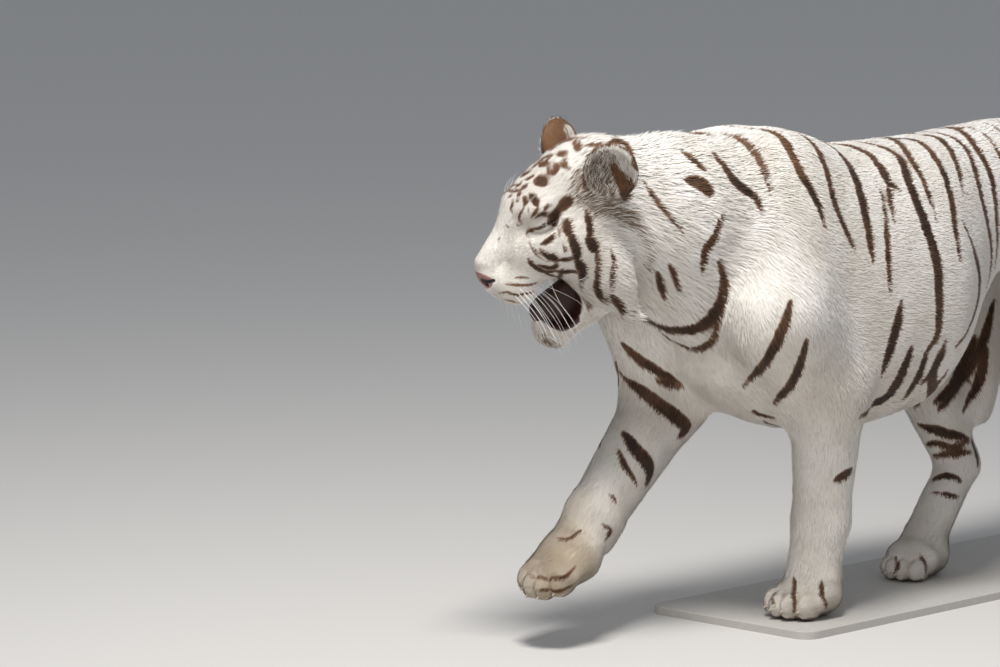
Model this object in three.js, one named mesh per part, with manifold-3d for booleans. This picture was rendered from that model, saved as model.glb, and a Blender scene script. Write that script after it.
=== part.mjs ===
// A walking tiger, life size, in millimetres, +Z up, standing on three paws with the right fore
// paw in the air, on a flat base that keeps it from tipping. The whole body is one smooth implicit
// form: a lofted trunk with tapered limbs, muscles and face masses blended onto it. Each named
// piece is that form meshed inside its own cutting box, so neighbours share flat faces with a thin
// gap between them.
// The body is described facing +X with its left side toward +Y and its soles at height 0; the
// outer group turns it to face -X and centres it over the origin, and each piece is then lifted
// onto the base.
import * as THREE from 'three';
import Module from 'manifold-3d';

const wasm = await Module();
wasm.setup();

// ---------------------------------------------------------------- driving dimensions
const GAP = 0.4; // clearance between neighbouring pieces
const CENTRE_X = 447.3; // middle of the length, from the left fore paw back toward the tail
const CENTRE_Y = 2.8; // middle of the width
const TRUNK_ROUND = 58; // how far the trunk's two ends bulge past the last ring
const TRUNK_POWER = 2.25; // section exponent, a little squarer than an ellipse
const TRUNK_WAIST = 0.46; // height of the widest point, as a share of the depth
const HEAD_SCALE = 1.01;
const HEAD_TURN = -26; // degrees, toward the animal's right
const HEAD_NOD = 25; // degrees, nose down
const HEAD_TILT = -7; // degrees, crown toward the left
const NOSE = [703, -149, 690]; // where the tip of the nose sits
const EYE_RADIUS = 17;
const EYE_AT = [-146, 49, 58]; // left eye centre, in the head's own frame

// ring: distance forward of the left fore paw, top, underline, half width
const TRUNK = [
  [-1045, 785, 670, 70],
  [-990, 842, 620, 110],
  [-900, 895, 588, 140],
  [-760, 916, 572, 158],
  [-660, 917, 602, 148],
  [-560, 912, 592, 142],
  [-460, 906, 500, 156],
  [-370, 902, 398, 192],
  [-270, 900, 352, 224],
  [-120, 902, 337, 216],
  [0, 932, 347, 200],
  [120, 940, 380, 180],
  [225, 878, 450, 140],
  [280, 785, 550, 85],
];

// tail: points along its middle and the radius at each
const TAIL = [
  [-960, 0, 838, 68], [-1070, 6, 790, 52], [-1150, 16, 648, 43], [-1195, 28, 480, 40],
  [-1260, 38, 330, 39], [-1370, 42, 250, 38], [-1490, 38, 245, 36], [-1580, 30, 300, 26],
];
const TAIL_STEPS = 22;

// the base: a board with round corners, from heel to toe under the three paws
const BASE = { back: -1060, front: 165, halfWidth: 205, thick: 16, corner: 34 };
const FLATNESS = 0.13; // allowed flattening of a piece's surface, as a share of its cell size

// joints of each leg, from the shoulder or hip down to the floor; rear and calf are the two ends
// of the muscle behind a thigh
const LEGS = {
  fore_left: {
    blade: [60, 75, 870], shoulder: [190, 148, 605], elbow: [20, 130, 445],
    wrist: [4, 100, 185], knuckle: [12, 90, 95],
  },
  fore_right: {
    blade: [130, -75, 876], shoulder: [244, -138, 612], elbow: [185, -138, 415],
    wrist: [420, -112, 215], knuckle: [490, -106, 150],
  },
  hind_left: {
    hip: [-860, 98, 725], knee: [-690, 146, 445], hock: [-990, 112, 265],
    foot: [-960, 96, 80], toe: [-925, 92, 40],
    rear: [-930, 96, 600], calf: [-880, 118, 400], rearHalf: [60, 88], calfHalf: [46, 58],
  },
  hind_right: {
    hip: [-830, -98, 725], knee: [-520, -136, 500], hock: [-602, -44, 208],
    foot: [-468, -24, 75], toe: [-420, -14, 40],
    rear: [-760, -100, 560], calf: [-668, -72, 320], rearHalf: [72, 100], calfHalf: [48, 66],
  },
};

// ---------------------------------------------------------------- small vector helpers
const vec = (p) => new THREE.Vector3(...p);
const rad = THREE.MathUtils.degToRad;
const headTurn = new THREE.Matrix4().makeRotationZ(rad(HEAD_TURN))
  .multiply(new THREE.Matrix4().makeRotationY(rad(HEAD_NOD)))
  .multiply(new THREE.Matrix4().makeRotationX(rad(HEAD_TILT)));
const inHead = (p) => vec(p).multiplyScalar(HEAD_SCALE).applyMatrix4(headTurn).add(vec(NOSE));
const headWay = (p) => vec(p).applyMatrix4(headTurn).normalize();

// ---------------------------------------------------------------- implicit form
function blend(a, b, k) {
  const h = Math.max(k - Math.abs(a - b), 0) / k;
  return Math.min(a, b) - h * h * k * 0.25;
}

// a tapered bar of elliptical section with rounded ends; side is the way the first radius runs
function bar(a, b, ra, rb, side = new THREE.Vector3(0, 1, 0)) {
  const axis = b.clone().sub(a);
  const length = axis.length();
  axis.divideScalar(length);
  const wide = side.clone().addScaledVector(axis, -side.dot(axis)).normalize();
  const deep = axis.clone().cross(wide);
  return (p) => {
    const q = p.clone().sub(a);
    const along = q.dot(axis);
    const u = q.dot(wide);
    const v = q.dot(deep);
    const t = Math.min(Math.max(along / length, 0), 1);
    const past = along - t * length;
    const ru = ra[0] + (rb[0] - ra[0]) * t;
    const rv = ra[1] + (rb[1] - ra[1]) * t;
    const n = Math.hypot(u / ru, v / rv, past / Math.min(ru, rv)) + 1e-9;
    return ((n - 1) / n) * Math.hypot(u, v, past);
  };
}

function egg(centre, radii, turn = null) {
  const back = turn ? turn.clone().transpose() : null;
  return (p) => {
    const q = p.clone().sub(centre);
    if (back) {
      q.applyMatrix4(back);
    }
    const n = Math.hypot(q.x / radii[0], q.y / radii[1], q.z / radii[2]) + 1e-9;
    return ((n - 1) / n) * q.length();
  };
}

// shape-preserving curve through the trunk rings, column k, sampled at x
function ringSlopes(k) {
  const n = TRUNK.length;
  const step = (i) => TRUNK[i + 1][0] - TRUNK[i][0];
  const rise = (i) => (TRUNK[i + 1][k] - TRUNK[i][k]) / step(i);
  const slopes = [rise(0)];
  for (let i = 1; i < n - 1; i += 1) {
    const before = rise(i - 1);
    const after = rise(i);
    const w1 = 2 * step(i) + step(i - 1);
    const w2 = step(i) + 2 * step(i - 1);
    slopes.push(before * after > 0 ? (w1 + w2) / (w1 / before + w2 / after) : 0);
  }
  slopes.push(rise(n - 2));
  return slopes;
}
const SLOPES = [1, 2, 3].map(ringSlopes);

function ringAt(k, x) {
  let i = 0;
  while (i < TRUNK.length - 2 && x > TRUNK[i + 1][0]) {
    i += 1;
  }
  const h = TRUNK[i + 1][0] - TRUNK[i][0];
  const t = (x - TRUNK[i][0]) / h;
  const m = SLOPES[k - 1];
  return (2 * t ** 3 - 3 * t ** 2 + 1) * TRUNK[i][k] + (t ** 3 - 2 * t ** 2 + t) * h * m[i]
    + (3 * t ** 2 - 2 * t ** 3) * TRUNK[i + 1][k] + (t ** 3 - t ** 2) * h * m[i + 1];
}

function trunk(p) {
  const x = Math.min(Math.max(p.x, TRUNK[0][0]), TRUNK[TRUNK.length - 1][0]);
  const top = ringAt(1, x);
  const under = ringAt(2, x);
  const half = ringAt(3, x);
  const middle = under + (top - under) * TRUNK_WAIST;
  const z = p.z - middle;
  const reach = z > 0 ? top - middle : middle - under;
  const y = Math.abs(p.y);
  const past = p.x - x;
  const r = ((y / half) ** TRUNK_POWER + (Math.abs(z) / reach) ** TRUNK_POWER) ** (1 / TRUNK_POWER);
  const n = Math.hypot(r, past / TRUNK_ROUND) + 1e-9;
  return ((n - 1) / n) * Math.hypot(y, z, past);
}

// every mass of the body, blended on in this order: field, blend radius, centre and reach
const masses = [];
function addBar(a, b, ra, rb, k, side) {
  const from = Array.isArray(a) ? vec(a) : a;
  const to = Array.isArray(b) ? vec(b) : b;
  const reach = Math.max(...ra, ...rb);
  const box = new THREE.Box3().setFromPoints([from, to]).expandByScalar(reach + k + 30);
  masses.push({ field: bar(from, to, ra, rb, side), k, box });
}
function addEgg(centre, radii, k, turn = null) {
  const box = new THREE.Box3().setFromPoints([centre]).expandByScalar(Math.max(...radii) + k + 30);
  masses.push({ field: egg(centre, radii, turn), k, box });
}

masses.push({
  field: trunk, k: 60, box: new THREE.Box3(vec([-1250, -360, 200]), vec([480, 360, 1080])),
});

// neck and throat
addBar([150, 0, 730], [330, -15, 780], [150, 200], [132, 158], 70);
addBar(vec([330, -15, 784]), inHead([-270, 0, 46]), [132, 154], [104, 112], 60);
addBar([225, -8, 640], [270, -16, 720], [104, 96], [96, 90], 60);

// four toes of one paw; the place of each claw is kept for later
const claws = [];
function toes(paw, at, forward, across, size) {
  const spread = [[0.62, -1.12], [0.98, -0.38], [0.98, 0.38], [0.62, 1.12]];
  const up = forward.clone().cross(across).normalize();
  const turn = new THREE.Matrix4().makeBasis(forward, across, up);
  const radii = [0.72, 0.45, 0.66].map((share) => share * size);
  spread.forEach(([ahead, off], n) => {
    const centre = vec(at).addScaledVector(forward, ahead * size);
    centre.addScaledVector(across, off * size * 0.8);
    addEgg(centre, radii, 9, turn);
    const root = centre.clone().addScaledVector(forward, size * 0.56).addScaledVector(up, -size * 0.1);
    claws.push({ name: `${paw}_claw_${n + 1}`, paw, root, forward, up });
  });
}

const FORWARD = new THREE.Vector3(1, 0, 0);
const LEFTWARD = new THREE.Vector3(0, 1, 0);
const RAISED_PAW = new THREE.Vector3(0.88, 0.03, -0.44).normalize();

for (const leg of [LEGS.fore_left, LEGS.fore_right]) {
  addBar(leg.blade, leg.shoulder, [45, 95], [80, 112], 70);
  addBar(leg.shoulder, leg.elbow, [84, 112], [72, 92], 55);
  addBar(leg.elbow, leg.wrist, [68, 88], [54, 62], 45);
}
addBar(LEGS.fore_left.wrist, LEGS.fore_left.knuckle, [54, 60], [58, 54], 25);
addBar([14, 90, 46], [52, 86, 34], [68, 50], [70, 38], 30);
toes('foreleg_left_paw', [42, 86, 26], FORWARD, LEFTWARD, 46);
addBar(LEGS.fore_right.wrist, LEGS.fore_right.knuckle, [54, 62], [60, 50], 25);
addBar([495, -106, 150], [545, -104, 124], [66, 46], [68, 38], 28);
toes('foreleg_right_paw', [532, -105, 128], RAISED_PAW, LEFTWARD, 46);
addEgg(vec([400, -112, 168]), [26, 28, 30], 15);

for (const [name, leg] of [['left', LEGS.hind_left], ['right', LEGS.hind_right]]) {
  addBar(leg.hip, leg.knee, [90, 165], [78, 102], 70);
  addBar(leg.rear, leg.calf, leg.rearHalf, leg.calfHalf, 45);
  addBar(leg.knee, leg.hock, [70, 94], [42, 52], 45);
  addBar(leg.hock, leg.foot, [42, 50], [48, 44], 20);
  const sole = vec(leg.foot).add(vec([0, 0, -34]));
  addBar(sole, vec(leg.toe), [54, 46], [58, 44], 26);
  const ball = [leg.toe[0] + 2, leg.toe[1], 22];
  toes(`hindleg_${name}_foot`, ball, FORWARD, LEFTWARD, 40);
}

// tail, a run of short tapered bars along a smooth curve
const tailCurve = new THREE.CatmullRomCurve3(TAIL.map((t) => vec(t.slice(0, 3))), false, 'centripetal');
const tailRadius = (t) => {
  const s = t * (TAIL.length - 1);
  const i = Math.min(Math.floor(s), TAIL.length - 2);
  return TAIL[i][3] + (TAIL[i + 1][3] - TAIL[i][3]) * (s - i);
};
for (let i = 0; i < TAIL_STEPS; i += 1) {
  const [s, t] = [i / TAIL_STEPS, (i + 1) / TAIL_STEPS];
  const [r, q] = [tailRadius(s), tailRadius(t)];
  addBar(tailCurve.getPoint(s), tailCurve.getPoint(t), [r, r], [q, q], i ? 8 : 50);
}

// head masses, in the head's own frame with the tip of the nose at its origin
const both = (p) => (p[1] ? [p, [p[0], -p[1], p[2]]] : [p]);
function headEgg(centre, radii, k) {
  for (const c of both(centre)) {
    addEgg(inHead(c), radii.map((r) => r * HEAD_SCALE), k, headTurn);
  }
}
function headBar(a, b, ra, rb, k, side = [0, 1, 0]) {
  const big = (r) => r.map((v) => v * HEAD_SCALE);
  addBar(inHead(a), inHead(b), big(ra), big(rb), k, headWay(side));
}
headEgg([-228, 0, 58], [100, 90, 90], 30); // cranium
headEgg([-160, 0, 64], [70, 66, 66], 30); // forehead
headBar([-130, 0, 62], [-30, 0, 20], [38, 40], [25, 21], 25); // bridge of the nose
headBar([-128, 0, -14], [-46, 0, -20], [52, 56], [37, 36], 25); // upper jaw
headEgg([-108, 40, 8], [46, 26, 42], 25); // flat of the cheek below the eye
headEgg([-64, 27, -36], [44, 30, 40], 18); // whisker pads
headEgg([-20, 0, -1], [15, 26, 19], 10); // nose leather
headEgg([-172, 66, 2], [75, 50, 60], 30); // cheekbones
headEgg([-202, 64, -62], [60, 52, 70], 30); // chewing muscle
headEgg([-150, 46, 86], [36, 28, 22], 20); // brow
headEgg([-218, 82, -96], [46, 44, 92], 35); // cheek ruff
headBar([-200, 0, -120], [-106, 0, -152], [60, 62], [40, 42], 22); // lower jaw
headEgg([-98, 0, -156], [36, 36, 36], 16); // chin
// an ear is a flat disc, turned to face sideways and a little forward
const EAR = {
  at: [-281, 112, 104], radii: [21, 52, 60], k: 12,
  cup: { at: [-275, 125, 109], radii: [22, 37, 45], k: 8 },
};
function earTurn(side) {
  const up = headWay([-0.2, side * 0.26, 0.94]);
  const across = up.clone().cross(headWay([0.45, side * 0.89, 0])).normalize();
  return new THREE.Matrix4().makeBasis(across.clone().cross(up), across, up);
}
for (const side of [1, -1]) {
  const ear = earTurn(side);
  addEgg(inHead([EAR.at[0], side * EAR.at[1], EAR.at[2]]), EAR.radii, EAR.k, ear);
}

// hollows taken out after everything else is blended: the open mouth, the orbits and the ear cups
const MOUTH = { corner: [-124, 42, -110], half: [36, 43] };
const hollows = [{
  field: bar(inHead(MOUTH.corner), inHead([MOUTH.corner[0], -MOUTH.corner[1], MOUTH.corner[2]]),
    MOUTH.half, MOUTH.half, headWay([1, 0, 0])),
  k: 10,
}];
for (const side of [1, -1]) {
  hollows.push({ field: egg(inHead([-136, side * 66, 58]), [34, 22, 18], headTurn), k: 14 });
  const { at, radii, k } = EAR.cup;
  hollows.push({ field: egg(inHead([at[0], side * at[1], at[2]]), radii, earTurn(side)), k });
}

function body(p) {
  let d = 400;
  for (const m of masses) {
    if (m.box.containsPoint(p)) {
      d = blend(d, m.field(p), m.k);
    }
  }
  for (const h of hollows) {
    d = -blend(-d, h.field(p), h.k);
  }
  return d;
}

// ---------------------------------------------------------------- meshing
// Places one vertex in each cell that the surface crosses and one quad across each crossed edge.
function meshForm(field, low, high, cell) {
  const size = [0, 1, 2].map((k) => Math.ceil((high[k] - low[k]) / cell) + 3);
  const start = low.map((v) => v - cell);
  const at = (i, j, k) => (i * size[1] + j) * size[2] + k;
  const value = new Float64Array(size[0] * size[1] * size[2]);
  const p = new THREE.Vector3();
  for (let i = 0; i < size[0]; i += 1) {
    for (let j = 0; j < size[1]; j += 1) {
      for (let k = 0; k < size[2]; k += 1) {
        p.set(start[0] + i * cell, start[1] + j * cell, start[2] + k * cell);
        const rim = i === 0 || j === 0 || k === 0
          || i === size[0] - 1 || j === size[1] - 1 || k === size[2] - 1;
        value[at(i, j, k)] = rim ? cell : field(p);
      }
    }
  }
  const points = [];
  const index = new Map();
  const corners = [];
  for (let c = 0; c < 8; c += 1) {
    corners.push([c & 1, (c >> 1) & 1, (c >> 2) & 1]);
  }
  for (let i = 0; i < size[0] - 1; i += 1) {
    for (let j = 0; j < size[1] - 1; j += 1) {
      for (let k = 0; k < size[2] - 1; k += 1) {
        const v = corners.map((c) => value[at(i + c[0], j + c[1], k + c[2])]);
        const inside = v.filter((d) => d < 0).length;
        if (inside === 0 || inside === 8) {
          continue;
        }
        const sum = [0, 0, 0];
        let count = 0;
        for (let a = 0; a < 8; a += 1) {
          for (const bit of [1, 2, 4]) {
            const b = a | bit;
            if (a & bit || v[a] < 0 === v[b] < 0) {
              continue;
            }
            const t = v[a] / (v[a] - v[b]);
            for (let m = 0; m < 3; m += 1) {
              sum[m] += corners[a][m] + (corners[b][m] - corners[a][m]) * t;
            }
            count += 1;
          }
        }
        index.set(at(i, j, k), points.length / 3);
        points.push(
          start[0] + (i + sum[0] / count) * cell,
          start[1] + (j + sum[1] / count) * cell,
          start[2] + (k + sum[2] / count) * cell,
        );
      }
    }
  }
  const faces = [];
  const steps = [[1, 0, 0], [0, 1, 0], [0, 0, 1]];
  for (let i = 0; i < size[0] - 1; i += 1) {
    for (let j = 0; j < size[1] - 1; j += 1) {
      for (let k = 0; k < size[2] - 1; k += 1) {
        for (let axis = 0; axis < 3; axis += 1) {
          const s = steps[axis];
          const here = value[at(i, j, k)] < 0;
          if (here === value[at(i + s[0], j + s[1], k + s[2])] < 0) {
            continue;
          }
          const u = steps[(axis + 1) % 3];
          const w = steps[(axis + 2) % 3];
          const cellOf = (a, b) => index.get(at(
            i - a * u[0] - b * w[0], j - a * u[1] - b * w[1], k - a * u[2] - b * w[2],
          ));
          const quad = [cellOf(1, 1), cellOf(0, 1), cellOf(0, 0), cellOf(1, 0)];
          if (!here) {
            quad.reverse();
          }
          faces.push(quad[0], quad[1], quad[2], quad[0], quad[2], quad[3]);
        }
      }
    }
  }
  return { points: new Float32Array(points), faces: new Uint32Array(faces) };
}

// Merges edges, flattest first, while the surface stays within the tolerance of its first planes.
function thin({ points, faces }, tolerance) {
  const count = points.length / 3;
  const at = [];
  for (let v = 0; v < count; v += 1) {
    at.push(new THREE.Vector3().fromArray(points, v * 3));
  }
  const tris = [];
  for (let f = 0; f < faces.length; f += 3) {
    tris.push([faces[f], faces[f + 1], faces[f + 2]]);
  }
  const around = at.map(() => new Set());
  const planes = at.map(() => new Array(10).fill(0));
  const weight = new Array(count).fill(0);
  const normalOf = (a, b, c) => b.clone().sub(a).cross(c.clone().sub(a));
  tris.forEach((t, f) => {
    const n = normalOf(...t.map((v) => at[v]));
    const area = n.length();
    n.normalize();
    const d = -n.dot(at[t[0]]);
    const m = [n.x, n.y, n.z, d];
    for (const v of t) {
      around[v].add(f);
      weight[v] += area;
      let slot = 0;
      for (let i = 0; i < 4; i += 1) {
        for (let j = i; j < 4; j += 1) {
          planes[v][slot] += area * m[i] * m[j];
          slot += 1;
        }
      }
    }
  });
  const offBy = (q, p) => {
    const m = [p.x, p.y, p.z, 1];
    let sum = 0;
    let slot = 0;
    for (let i = 0; i < 4; i += 1) {
      for (let j = i; j < 4; j += 1) {
        sum += q[slot] * m[i] * m[j] * (i === j ? 1 : 2);
        slot += 1;
      }
    }
    return sum;
  };
  const ring = (v) => {
    const found = new Set();
    for (const f of around[v]) {
      for (const w of tris[f]) {
        found.add(w);
      }
    }
    found.delete(v);
    return found;
  };
  for (let pass = 0; pass < 24; pass += 1) {
    const edges = [];
    for (let a = 0; a < count; a += 1) {
      for (const b of around[a].size ? ring(a) : []) {
        if (b <= a) {
          continue;
        }
        const q = planes[a].map((v, i) => v + planes[b][i]);
        const spots = [at[a], at[b], at[a].clone().add(at[b]).multiplyScalar(0.5)];
        const errors = spots.map((p) => offBy(q, p) / (weight[a] + weight[b]));
        const best = errors.indexOf(Math.min(...errors));
        const error = errors[best] + 1e-5 * at[a].distanceToSquared(at[b]);
        if (error < tolerance * tolerance) {
          edges.push([error, a, b, spots[best].clone(), q]);
        }
      }
    }
    edges.sort((x, y) => x[0] - y[0]);
    const busy = new Set();
    let merged = 0;
    for (const [, a, b, spot, q] of edges) {
      const [ra, rb] = [ring(a), ring(b)];
      const shared = [...ra].filter((v) => rb.has(v));
      if (shared.length !== 2 || busy.has(a) || busy.has(b) || [...ra, ...rb].some((v) => busy.has(v))) {
        continue;
      }
      const turned = [a, b].some((v) => [...around[v]].some((f) => {
        const t = tris[f];
        if (t.includes(a) && t.includes(b)) {
          return false;
        }
        const before = normalOf(...t.map((w) => at[w])).normalize();
        const after = normalOf(...t.map((w) => (w === v ? spot : at[w]))).normalize();
        return before.dot(after) < 0.75;
      }));
      if (turned) {
        continue;
      }
      at[a].copy(spot);
      planes[a] = q;
      weight[a] += weight[b];
      for (const f of [...around[b]]) {
        if (tris[f].includes(a)) {
          tris[f].forEach((v) => around[v].delete(f));
          tris[f] = null;
        } else {
          tris[f] = tris[f].map((v) => (v === b ? a : v));
          around[a].add(f);
        }
      }
      around[b].clear();
      [a, b, ...ra, ...rb].forEach((v) => busy.add(v));
      merged += 1;
    }
    if (!merged) {
      break;
    }
  }
  const number = new Map();
  const kept = [];
  const order = [];
  for (const t of tris.filter(Boolean)) {
    for (const v of t) {
      if (!number.has(v)) {
        number.set(v, number.size);
        kept.push(at[v].x, at[v].y, at[v].z);
      }
      order.push(number.get(v));
    }
  }
  return { points: new Float32Array(kept), faces: new Uint32Array(order) };
}

const toSolid = ({ points, faces }) => new wasm.Manifold(
  new wasm.Mesh({ numProp: 3, vertProperties: points, triVerts: faces }),
);

// corners that touch are drawn apart, each a little toward the middle of its own neighbours
function partTouching({ vertProperties, triVerts }) {
  const places = new Map();
  for (let v = 0; v < vertProperties.length / 3; v += 1) {
    const key = [0, 1, 2].map((k) => vertProperties[v * 3 + k].toFixed(2)).join(',');
    places.set(key, [...(places.get(key) ?? []), v]);
  }
  for (const v of [...places.values()].filter((group) => group.length > 1).flat()) {
    const middle = new THREE.Vector3();
    let count = 0;
    for (let f = 0; f < triVerts.length; f += 3) {
      const face = [...triVerts.slice(f, f + 3)];
      for (const w of face.includes(v) ? face : []) {
        middle.add(new THREE.Vector3().fromArray(vertProperties, w * 3));
        count += 1;
      }
    }
    const here = new THREE.Vector3().fromArray(vertProperties, v * 3);
    const shift = middle.divideScalar(count).sub(here).setLength(GAP / 6);
    here.add(shift).toArray(vertProperties, v * 3);
  }
}

function toGeometry(solid) {
  const mesh = solid.getMesh();
  partTouching(mesh);
  const geometry = new THREE.BufferGeometry();
  geometry.setAttribute('position', new THREE.BufferAttribute(mesh.vertProperties, 3));
  geometry.setIndex(new THREE.BufferAttribute(mesh.triVerts, 1));
  return geometry;
}

function solidOf(geometry, matrix = new THREE.Matrix4()) {
  const seen = new Map();
  const points = [];
  const faces = [];
  const position = geometry.getAttribute('position');
  const order = geometry.getIndex();
  const p = new THREE.Vector3();
  for (let n = 0; n < (order ? order.count : position.count); n += 1) {
    p.fromBufferAttribute(position, order ? order.getX(n) : n).applyMatrix4(matrix);
    const key = [p.x, p.y, p.z].map((v) => Math.round(v * 1000)).join(',');
    if (!seen.has(key)) {
      seen.set(key, points.length / 3);
      points.push(p.x, p.y, p.z);
    }
    faces.push(seen.get(key));
  }
  const kept = [];
  for (let n = 0; n < faces.length; n += 3) {
    const [a, b, c] = faces.slice(n, n + 3);
    if (a !== b && b !== c && a !== c) {
      kept.push(a, b, c);
    }
  }
  return toSolid({ points: new Float32Array(points), faces: new Uint32Array(kept) });
}

// the largest connected lump of a solid
function mainLump(solid) {
  const lumps = solid.decompose();
  return lumps.reduce((best, lump) => (lump.volume() > best.volume() ? lump : best));
}

// ---------------------------------------------------------------- cutting boxes
// A cutting box: centre, half sizes, and the way its own X axis points, with the side it leans to.
function cutter(centre, half, way = [1, 0, 0], side = [0, 1, 0]) {
  const x = vec(way).normalize();
  const z = x.clone().cross(vec(side)).normalize();
  const y = z.clone().cross(x);
  const matrix = new THREE.Matrix4().makeBasis(x, y, z).setPosition(vec(centre));
  const grown = (g) => solidOf(new THREE.BoxGeometry(...half.map((h) => 2 * (h + g))), matrix);
  const box = new THREE.Box3();
  for (const sx of [-1, 1]) {
    for (const sy of [-1, 1]) {
      for (const sz of [-1, 1]) {
        box.expandByPoint(vec([sx * half[0], sy * half[1], sz * half[2]]).applyMatrix4(matrix));
      }
    }
  }
  return { exact: grown(0), wide: grown(GAP), box };
}
// a box whose two faces along the limb pass through the points from and to
function span(from, to, half, side = [0, 1, 0]) {
  const way = vec(to).sub(vec(from));
  const centre = vec(from).add(vec(to)).multiplyScalar(0.5);
  return cutter(centre.toArray(), [way.length() / 2, ...half], way.toArray(), side);
}
const aabb = (low, high) => cutter(
  low.map((v, k) => (v + high[k]) / 2), low.map((v, k) => (high[k] - v) / 2),
);
const H = (p) => inHead(p).toArray();
const headDir = (p) => headWay(p).toArray();

const tailCut = (s, t) => {
  const [a, b] = [tailCurve.getPoint(s), tailCurve.getPoint(Math.min(t, 1))];
  if (t > 1) {
    b.add(b.clone().sub(a).setLength(120));
  }
  return span(a.toArray(), b.toArray(), [64, 64]);
};
// an oval post standing out from the flank, for the shoulder and the thigh
function oval(centre, half, lean) {
  const matrix = new THREE.Matrix4().makeTranslation(...centre)
    .multiply(new THREE.Matrix4().makeRotationY(rad(lean)));
  const post = (g) => {
    const shape = new THREE.CylinderGeometry(1, 1, 1, 22);
    shape.scale(half[0] + g, half[1] * 2 + 2 * g, half[2] + g);
    return solidOf(shape, matrix);
  };
  const box = new THREE.Box3().setFromCenterAndSize(
    vec(centre), vec([2 * half[2] + 20, 2 * half[1], 2 * half[2] + 20]),
  );
  return { exact: post(0), wide: post(GAP), box };
}
const join = (a, b) => ({
  exact: a.exact.add(b.exact), wide: a.wide.add(b.wide), box: a.box.clone().union(b.box),
});

// name, cell size and cutting box; a piece keeps what no earlier piece has taken
const backHead = [-278, 0, -40];
const EARS = [1, -1].map((side) => cutter(
  H([-288, side * 119, 122]), [66, 66, 54], headDir([-0.89, side * 0.45, 0]), headDir([0.2, side * 0.3, 0.9]),
));
const PIECES = [
  ['ear_left', 15, EARS[0]],
  ['ear_right', 15, EARS[1]],
  ['nose', 9, cutter(H([0, 0, 4]), [22, 34, 19], headDir([1, 0, 0]), headDir([0, 1, 0]))],
  ['lower_jaw', 14, span(H([-163, 0, -124]), H([-23, 0, -206]), [90, 68])],
  ['head', 16, span(H(backHead), H([41, 0, 45]), [240, 205], headDir([0, 1, 0]))],
  ['foreleg_left_paw', 13, aabb([-110, -5, 0], [190, 200, 118])],
  ['foreleg_left_forearm', 24, aabb([-120, 52, 118], [150, 240, 420])],
  ['foreleg_left_shoulder', 32, oval([120, 220, 640], [135, 102, 225], -14)],
  ['foreleg_right_paw', 13, span([462, -106, 182], [650, -100, 60], [110, 130])],
  ['foreleg_right_forearm', 24, span([214, -130, 395], [462, -106, 182], [110, 130])],
  ['foreleg_right_shoulder', 32, oval([212, -216, 640], [135, 102, 225], -20)],
  ['hindleg_left_foot', 14, aabb([-1120, 0, 0], [-800, 200, 175])],
  ['hindleg_left_shank', 24, span([-765, 146, 400], [-1060, 108, 215], [110, 190])],
  ['hindleg_left_thigh', 34, join(
    oval([-770, 200, 640], [165, 104, 235], -18), aabb([-830, 24, 300], [-560, 300, 455]),
  )],
  ['hindleg_right_foot', 14, aabb([-700, -160, 0], [-250, 110, 165])],
  ['hindleg_right_shank', 24, span([-532, -110, 430], [-600, -44, 165], [95, 150])],
  ['hindleg_right_thigh', 34, oval([-680, -200, 620], [170, 104, 245], -30)],
  ['tail_1', 24, tailCut(0.24, 0.42)],
  ['tail_2', 22, tailCut(0.42, 0.62)],
  ['tail_3', 22, tailCut(0.62, 0.82)],
  ['tail_4', 20, tailCut(0.82, 1.08)],
  ['neck', 36, span([230, 0, 745], [533, 0, 876], [230, 250])],
  ['chest', 36, aabb([-170, -300, 250], [420, 300, 1050])],
  ['belly', 44, aabb([-600, -300, 250], [-170, 300, 1050])],
  ['hips', 38, aabb([-1300, -300, 250], [-600, 300, 1050])],
];

const solids = new Map();
const taken = [];
for (const [name, cell, box] of PIECES) {
  const low = box.box.min.toArray().map((v) => v - cell * 2);
  const high = box.box.max.toArray().map((v) => v + cell * 2);
  const skin = thin(meshForm(body, low, high, cell), cell * FLATNESS);
  let solid = toSolid(skin).intersect(box.exact);
  for (const other of taken) {
    if (other.box.intersectsBox(box.box)) {
      solid = solid.subtract(other.wide);
    }
  }
  solids.set(name, mainLump(solid));
  taken.push(box);
}

// ---------------------------------------------------------------- eyes, tongue and claws
function setInto(host, name, exact, wide) {
  solids.set(host, mainLump(solids.get(host).subtract(wide)));
  solids.set(name, exact);
}

for (const [name, side] of [['eye_left', 1], ['eye_right', -1]]) {
  const [x, y, z] = EYE_AT;
  const place = new THREE.Matrix4().makeTranslation(...H([x, y * side, z]));
  const ball = (g) => solidOf(new THREE.SphereGeometry(EYE_RADIUS + g, 12, 8), place);
  setInto('head', name, ball(0), ball(GAP * 1.5));
}

const TONGUE = {
  root: [-164, 0, -106], tip: [-86, 0, -108], half: [24, 30], tipHalf: [20, 20], clearance: 4,
};
const tongue = (g) => {
  const grow = (r) => r.map((v) => v + g);
  const form = bar(inHead(TONGUE.root), inHead(TONGUE.tip), grow(TONGUE.half), grow(TONGUE.tipHalf),
    headWay([0, 1, 0]));
  const box = new THREE.Box3().setFromPoints([inHead(TONGUE.root), inHead(TONGUE.tip)]);
  box.expandByScalar(40);
  return toSolid(thin(meshForm(form, box.min.toArray(), box.max.toArray(), 9), 1));
};
const tongueCut = tongue(TONGUE.clearance);
for (const host of ['head', 'lower_jaw', 'neck']) {
  solids.set(host, mainLump(solids.get(host).subtract(tongueCut)));
}
solids.set('tongue', tongue(0));

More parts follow.
